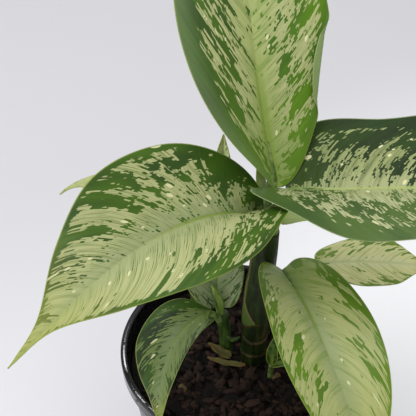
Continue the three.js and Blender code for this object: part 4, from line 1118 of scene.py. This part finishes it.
def rolled_leaf(rings=110, around=48):
    """A blade rolled on itself: a rod whose radius steps in by a blade's thickness at one edge,
    and that edge winds half a turn from the foot to the tip."""
    path = smooth_path(ROLLED_PATH, rings)
    u = np.linspace(0, 1, rings)[:, None]
    phase = (ring_angles(around) - 3.4 - 3.1 * u) % (2 * np.pi)
    radius = listed(ROLLED_RADII, u) * (1 - 0.2 * np.exp(-phase / 0.7))
    return close_rings(tube_rings(path, radius, around))


young_skin = stem_material(
    "young_leaf_skin", srgb(104, 132, 48), srgb(160, 178, 96), srgb(140, 156, 80))
rolled = make_mesh("rolled_leaf", [rolled_leaf()])
dress(rolled, young_skin, "leaf_rolled")

PLANTLET_PATH = [(20.5, -13.3, 88), (20.5, -13.3, 106), (20.8, -12.8, 117)]
PLANTLET_RADII = [1.7, 1.7, 1.4]
UPRIGHT_WIDTHS = (1.6, 2.9, 3.6, 3.5, 2.6, 1.4, 0.6)
SPREAD_WIDTHS = (1.6, 2.9, 3.5, 3.4, 2.6, 1.4, 0.6)
PLANTLET_BLADES = (
    dict(PLAIN_BLADE, base=(20.9, -12.8, 116), heading=(80, 70, 60), rise=(80, 78, 66), length=21,
         left=UPRIGHT_WIDTHS, right=UPRIGHT_WIDTHS, fold=(25, 20)),
    dict(PLAIN_BLADE, base=(21, -12.8, 115), heading=(4, 10, 16), rise=(34, 2, -30), length=16,
         left=SPREAD_WIDTHS, right=SPREAD_WIDTHS, fold=(20, 15)),
)

plantlet_parts = [blade_part(blade, TINY_GRID) for blade in PLANTLET_BLADES]
plantlet_parts.append(rod_part(plain_stem(PLANTLET_PATH, PLANTLET_RADII, 60, 24, 0.1)))
plantlet_skin = blade_material(
    "plantlet", seed=61.0, reach=(0.5, 0.5), border=(1, 1), green=srgb(44, 74, 20),
    cream=srgb(84, 114, 50), cream_near=srgb(92, 124, 58))
dress(leafy_mesh("small_plantlet", plantlet_parts), plantlet_skin, "plantlet")

HUSKS = {
    "husk_upper": dict(
        PLAIN_BLADE, base=(-1.6, -1.8, 109.6), heading=(166, 161, 158), rise=(24, 28, 28), length=15.8,
        roll=(35, 35, 35), left=(1.6, 2.4, 3.2, 2.5, 2.3, 1.1, 0.6),
        right=(1.6, 2.9, 2.6, 3.1, 1.8, 1.3, 0.6), fold=(26, 22), wave=0.35),
    "husk_lower": dict(
        PLAIN_BLADE, base=(6.8, -7.4, 109.4), heading=(172, 162, 156), rise=(-10, -4, 2), length=23.5,
        roll=(30, 30, 30), left=(0.9, 1.6, 1.4, 2, 1.4, 1.2, 0.6),
        right=(0.9, 1.3, 1.9, 1.5, 1.8, 0.9, 0.6), fold=(24, 20), wave=0.4),
}
HUSK_TAN, HUSK_PALE, HUSK_STAIN = srgb(78, 74, 36), srgb(118, 112, 64), srgb(112, 78, 40)
paper, tree, shader = new_material("dry_husk", Roughness=0.75, Specular_IOR_Level=0.3)
fibre_scale = {"Vector": attribute(tree, "vein"), "Scale": (0.25, 4, 1)}
fibre = noise(tree, add_node(tree, "ShaderNodeMapping", fibre_scale).outputs[0], 1.0, 3.0)
stain = step_up(tree, noise(tree, object_point(tree), 220.0), 0.5, 0.7)
dry = blend(tree, stain, blend(tree, fibre, HUSK_TAN, HUSK_PALE), HUSK_STAIN)
finish_skin(tree, shader, dry, height=fibre, strength=0.6)
for husk_name, husk in HUSKS.items():
    dress(leafy_mesh(husk_name + "_paper", [blade_part(husk, TINY_GRID)]), paper, husk_name)

# ---- table and light ----
# A pale table runs on behind the plant. Its colour is painted light and shade: darker far off as
#  painted shade, and lighter near the pot and to its right, painted there to hide the plant's
#  shadow, and the table glows a little, which is painted light that softens the shadows on it. Soft
#  boxes stand above and to the left, a small one high behind glints on the pot's lip, and an even
#  light from all sides fills the shadows.
TABLE_HALF = 4.0
TABLE_LEFT, TABLE_RIGHT_PAINTED_LIGHT = (0.662, 0.657, 0.682, 1), (0.815, 0.815, 0.83, 1)
TABLE_FAR_PAINTED_SHADE, TABLE_PAINTED_GLOW = (0.536, 0.531, 0.556, 1), (0.97, 0.97, 1, 1)
EVEN_LIGHT, EVEN_STRENGTH = (0.97, 0.98, 1.0, 1), 0.58
table_mesh = bpy.data.meshes.new("table")
table_corners = [(TABLE_HALF * x, TABLE_HALF * y, 0) for x, y in ((-1, -1), (1, -1), (1, 1), (-1, 1))]
table_mesh.from_pydata(table_corners, [], [(0, 1, 2, 3)])
table = bpy.data.objects.new("table", table_mesh)
scene.collection.objects.link(table)
white, tree, shader = new_material("pale_table", Roughness=0.6, Specular_IOR_Level=0.2,
                                   Emission_Color=TABLE_PAINTED_GLOW, Emission_Strength=0.16)
x, y, _ = xyz(tree, object_point(tree))
# Painted light: the colour runs lighter to the right, hiding the plant's shadow, and darker far off as
# painted shade.
near = blend(tree, step_up(tree, x, -0.12, 0.10), TABLE_LEFT, TABLE_RIGHT_PAINTED_LIGHT)
far = step_up(tree, calc(tree, "MULTIPLY_ADD", x, -0.6, y), 0.05, 0.40)
finish_skin(tree, shader, blend(tree, far, near, TABLE_FAR_PAINTED_SHADE))
table_mesh.materials.append(white)

world = bpy.data.worlds.new("even_light")
world.use_nodes = True
background = world.node_tree.nodes["Background"]
background.inputs["Color"].default_value = EVEN_LIGHT
background.inputs["Strength"].default_value = EVEN_STRENGTH
scene.world = world

SOFT_BOXES = {
    "top_box": dict(place=(-0.1, -0.15, 1.5), turn=(6, -4, 0), size=(1.1, 0.9), power=9.0),
    "left_box": dict(place=(-1.1, -0.3, 0.75), turn=(25, -60, 0), size=(0.7, 0.9), power=5.0),
    "rim_box": dict(place=(-0.166, 0.755, 1.152), turn=(-38, -6, 0), size=(0.07, 0.12), power=1.1),
}
for box_name, box in SOFT_BOXES.items():
    light = bpy.data.lights.new(box_name, "AREA")
    light.shape = "RECTANGLE"
    light.size, light.size_y = box["size"]
    light.energy = box["power"]
    lamp = bpy.data.objects.new(box_name, light)
    lamp.location = box["place"]
    lamp.rotation_euler = tuple(math.radians(a) for a in box["turn"])
    scene.collection.objects.link(lamp)
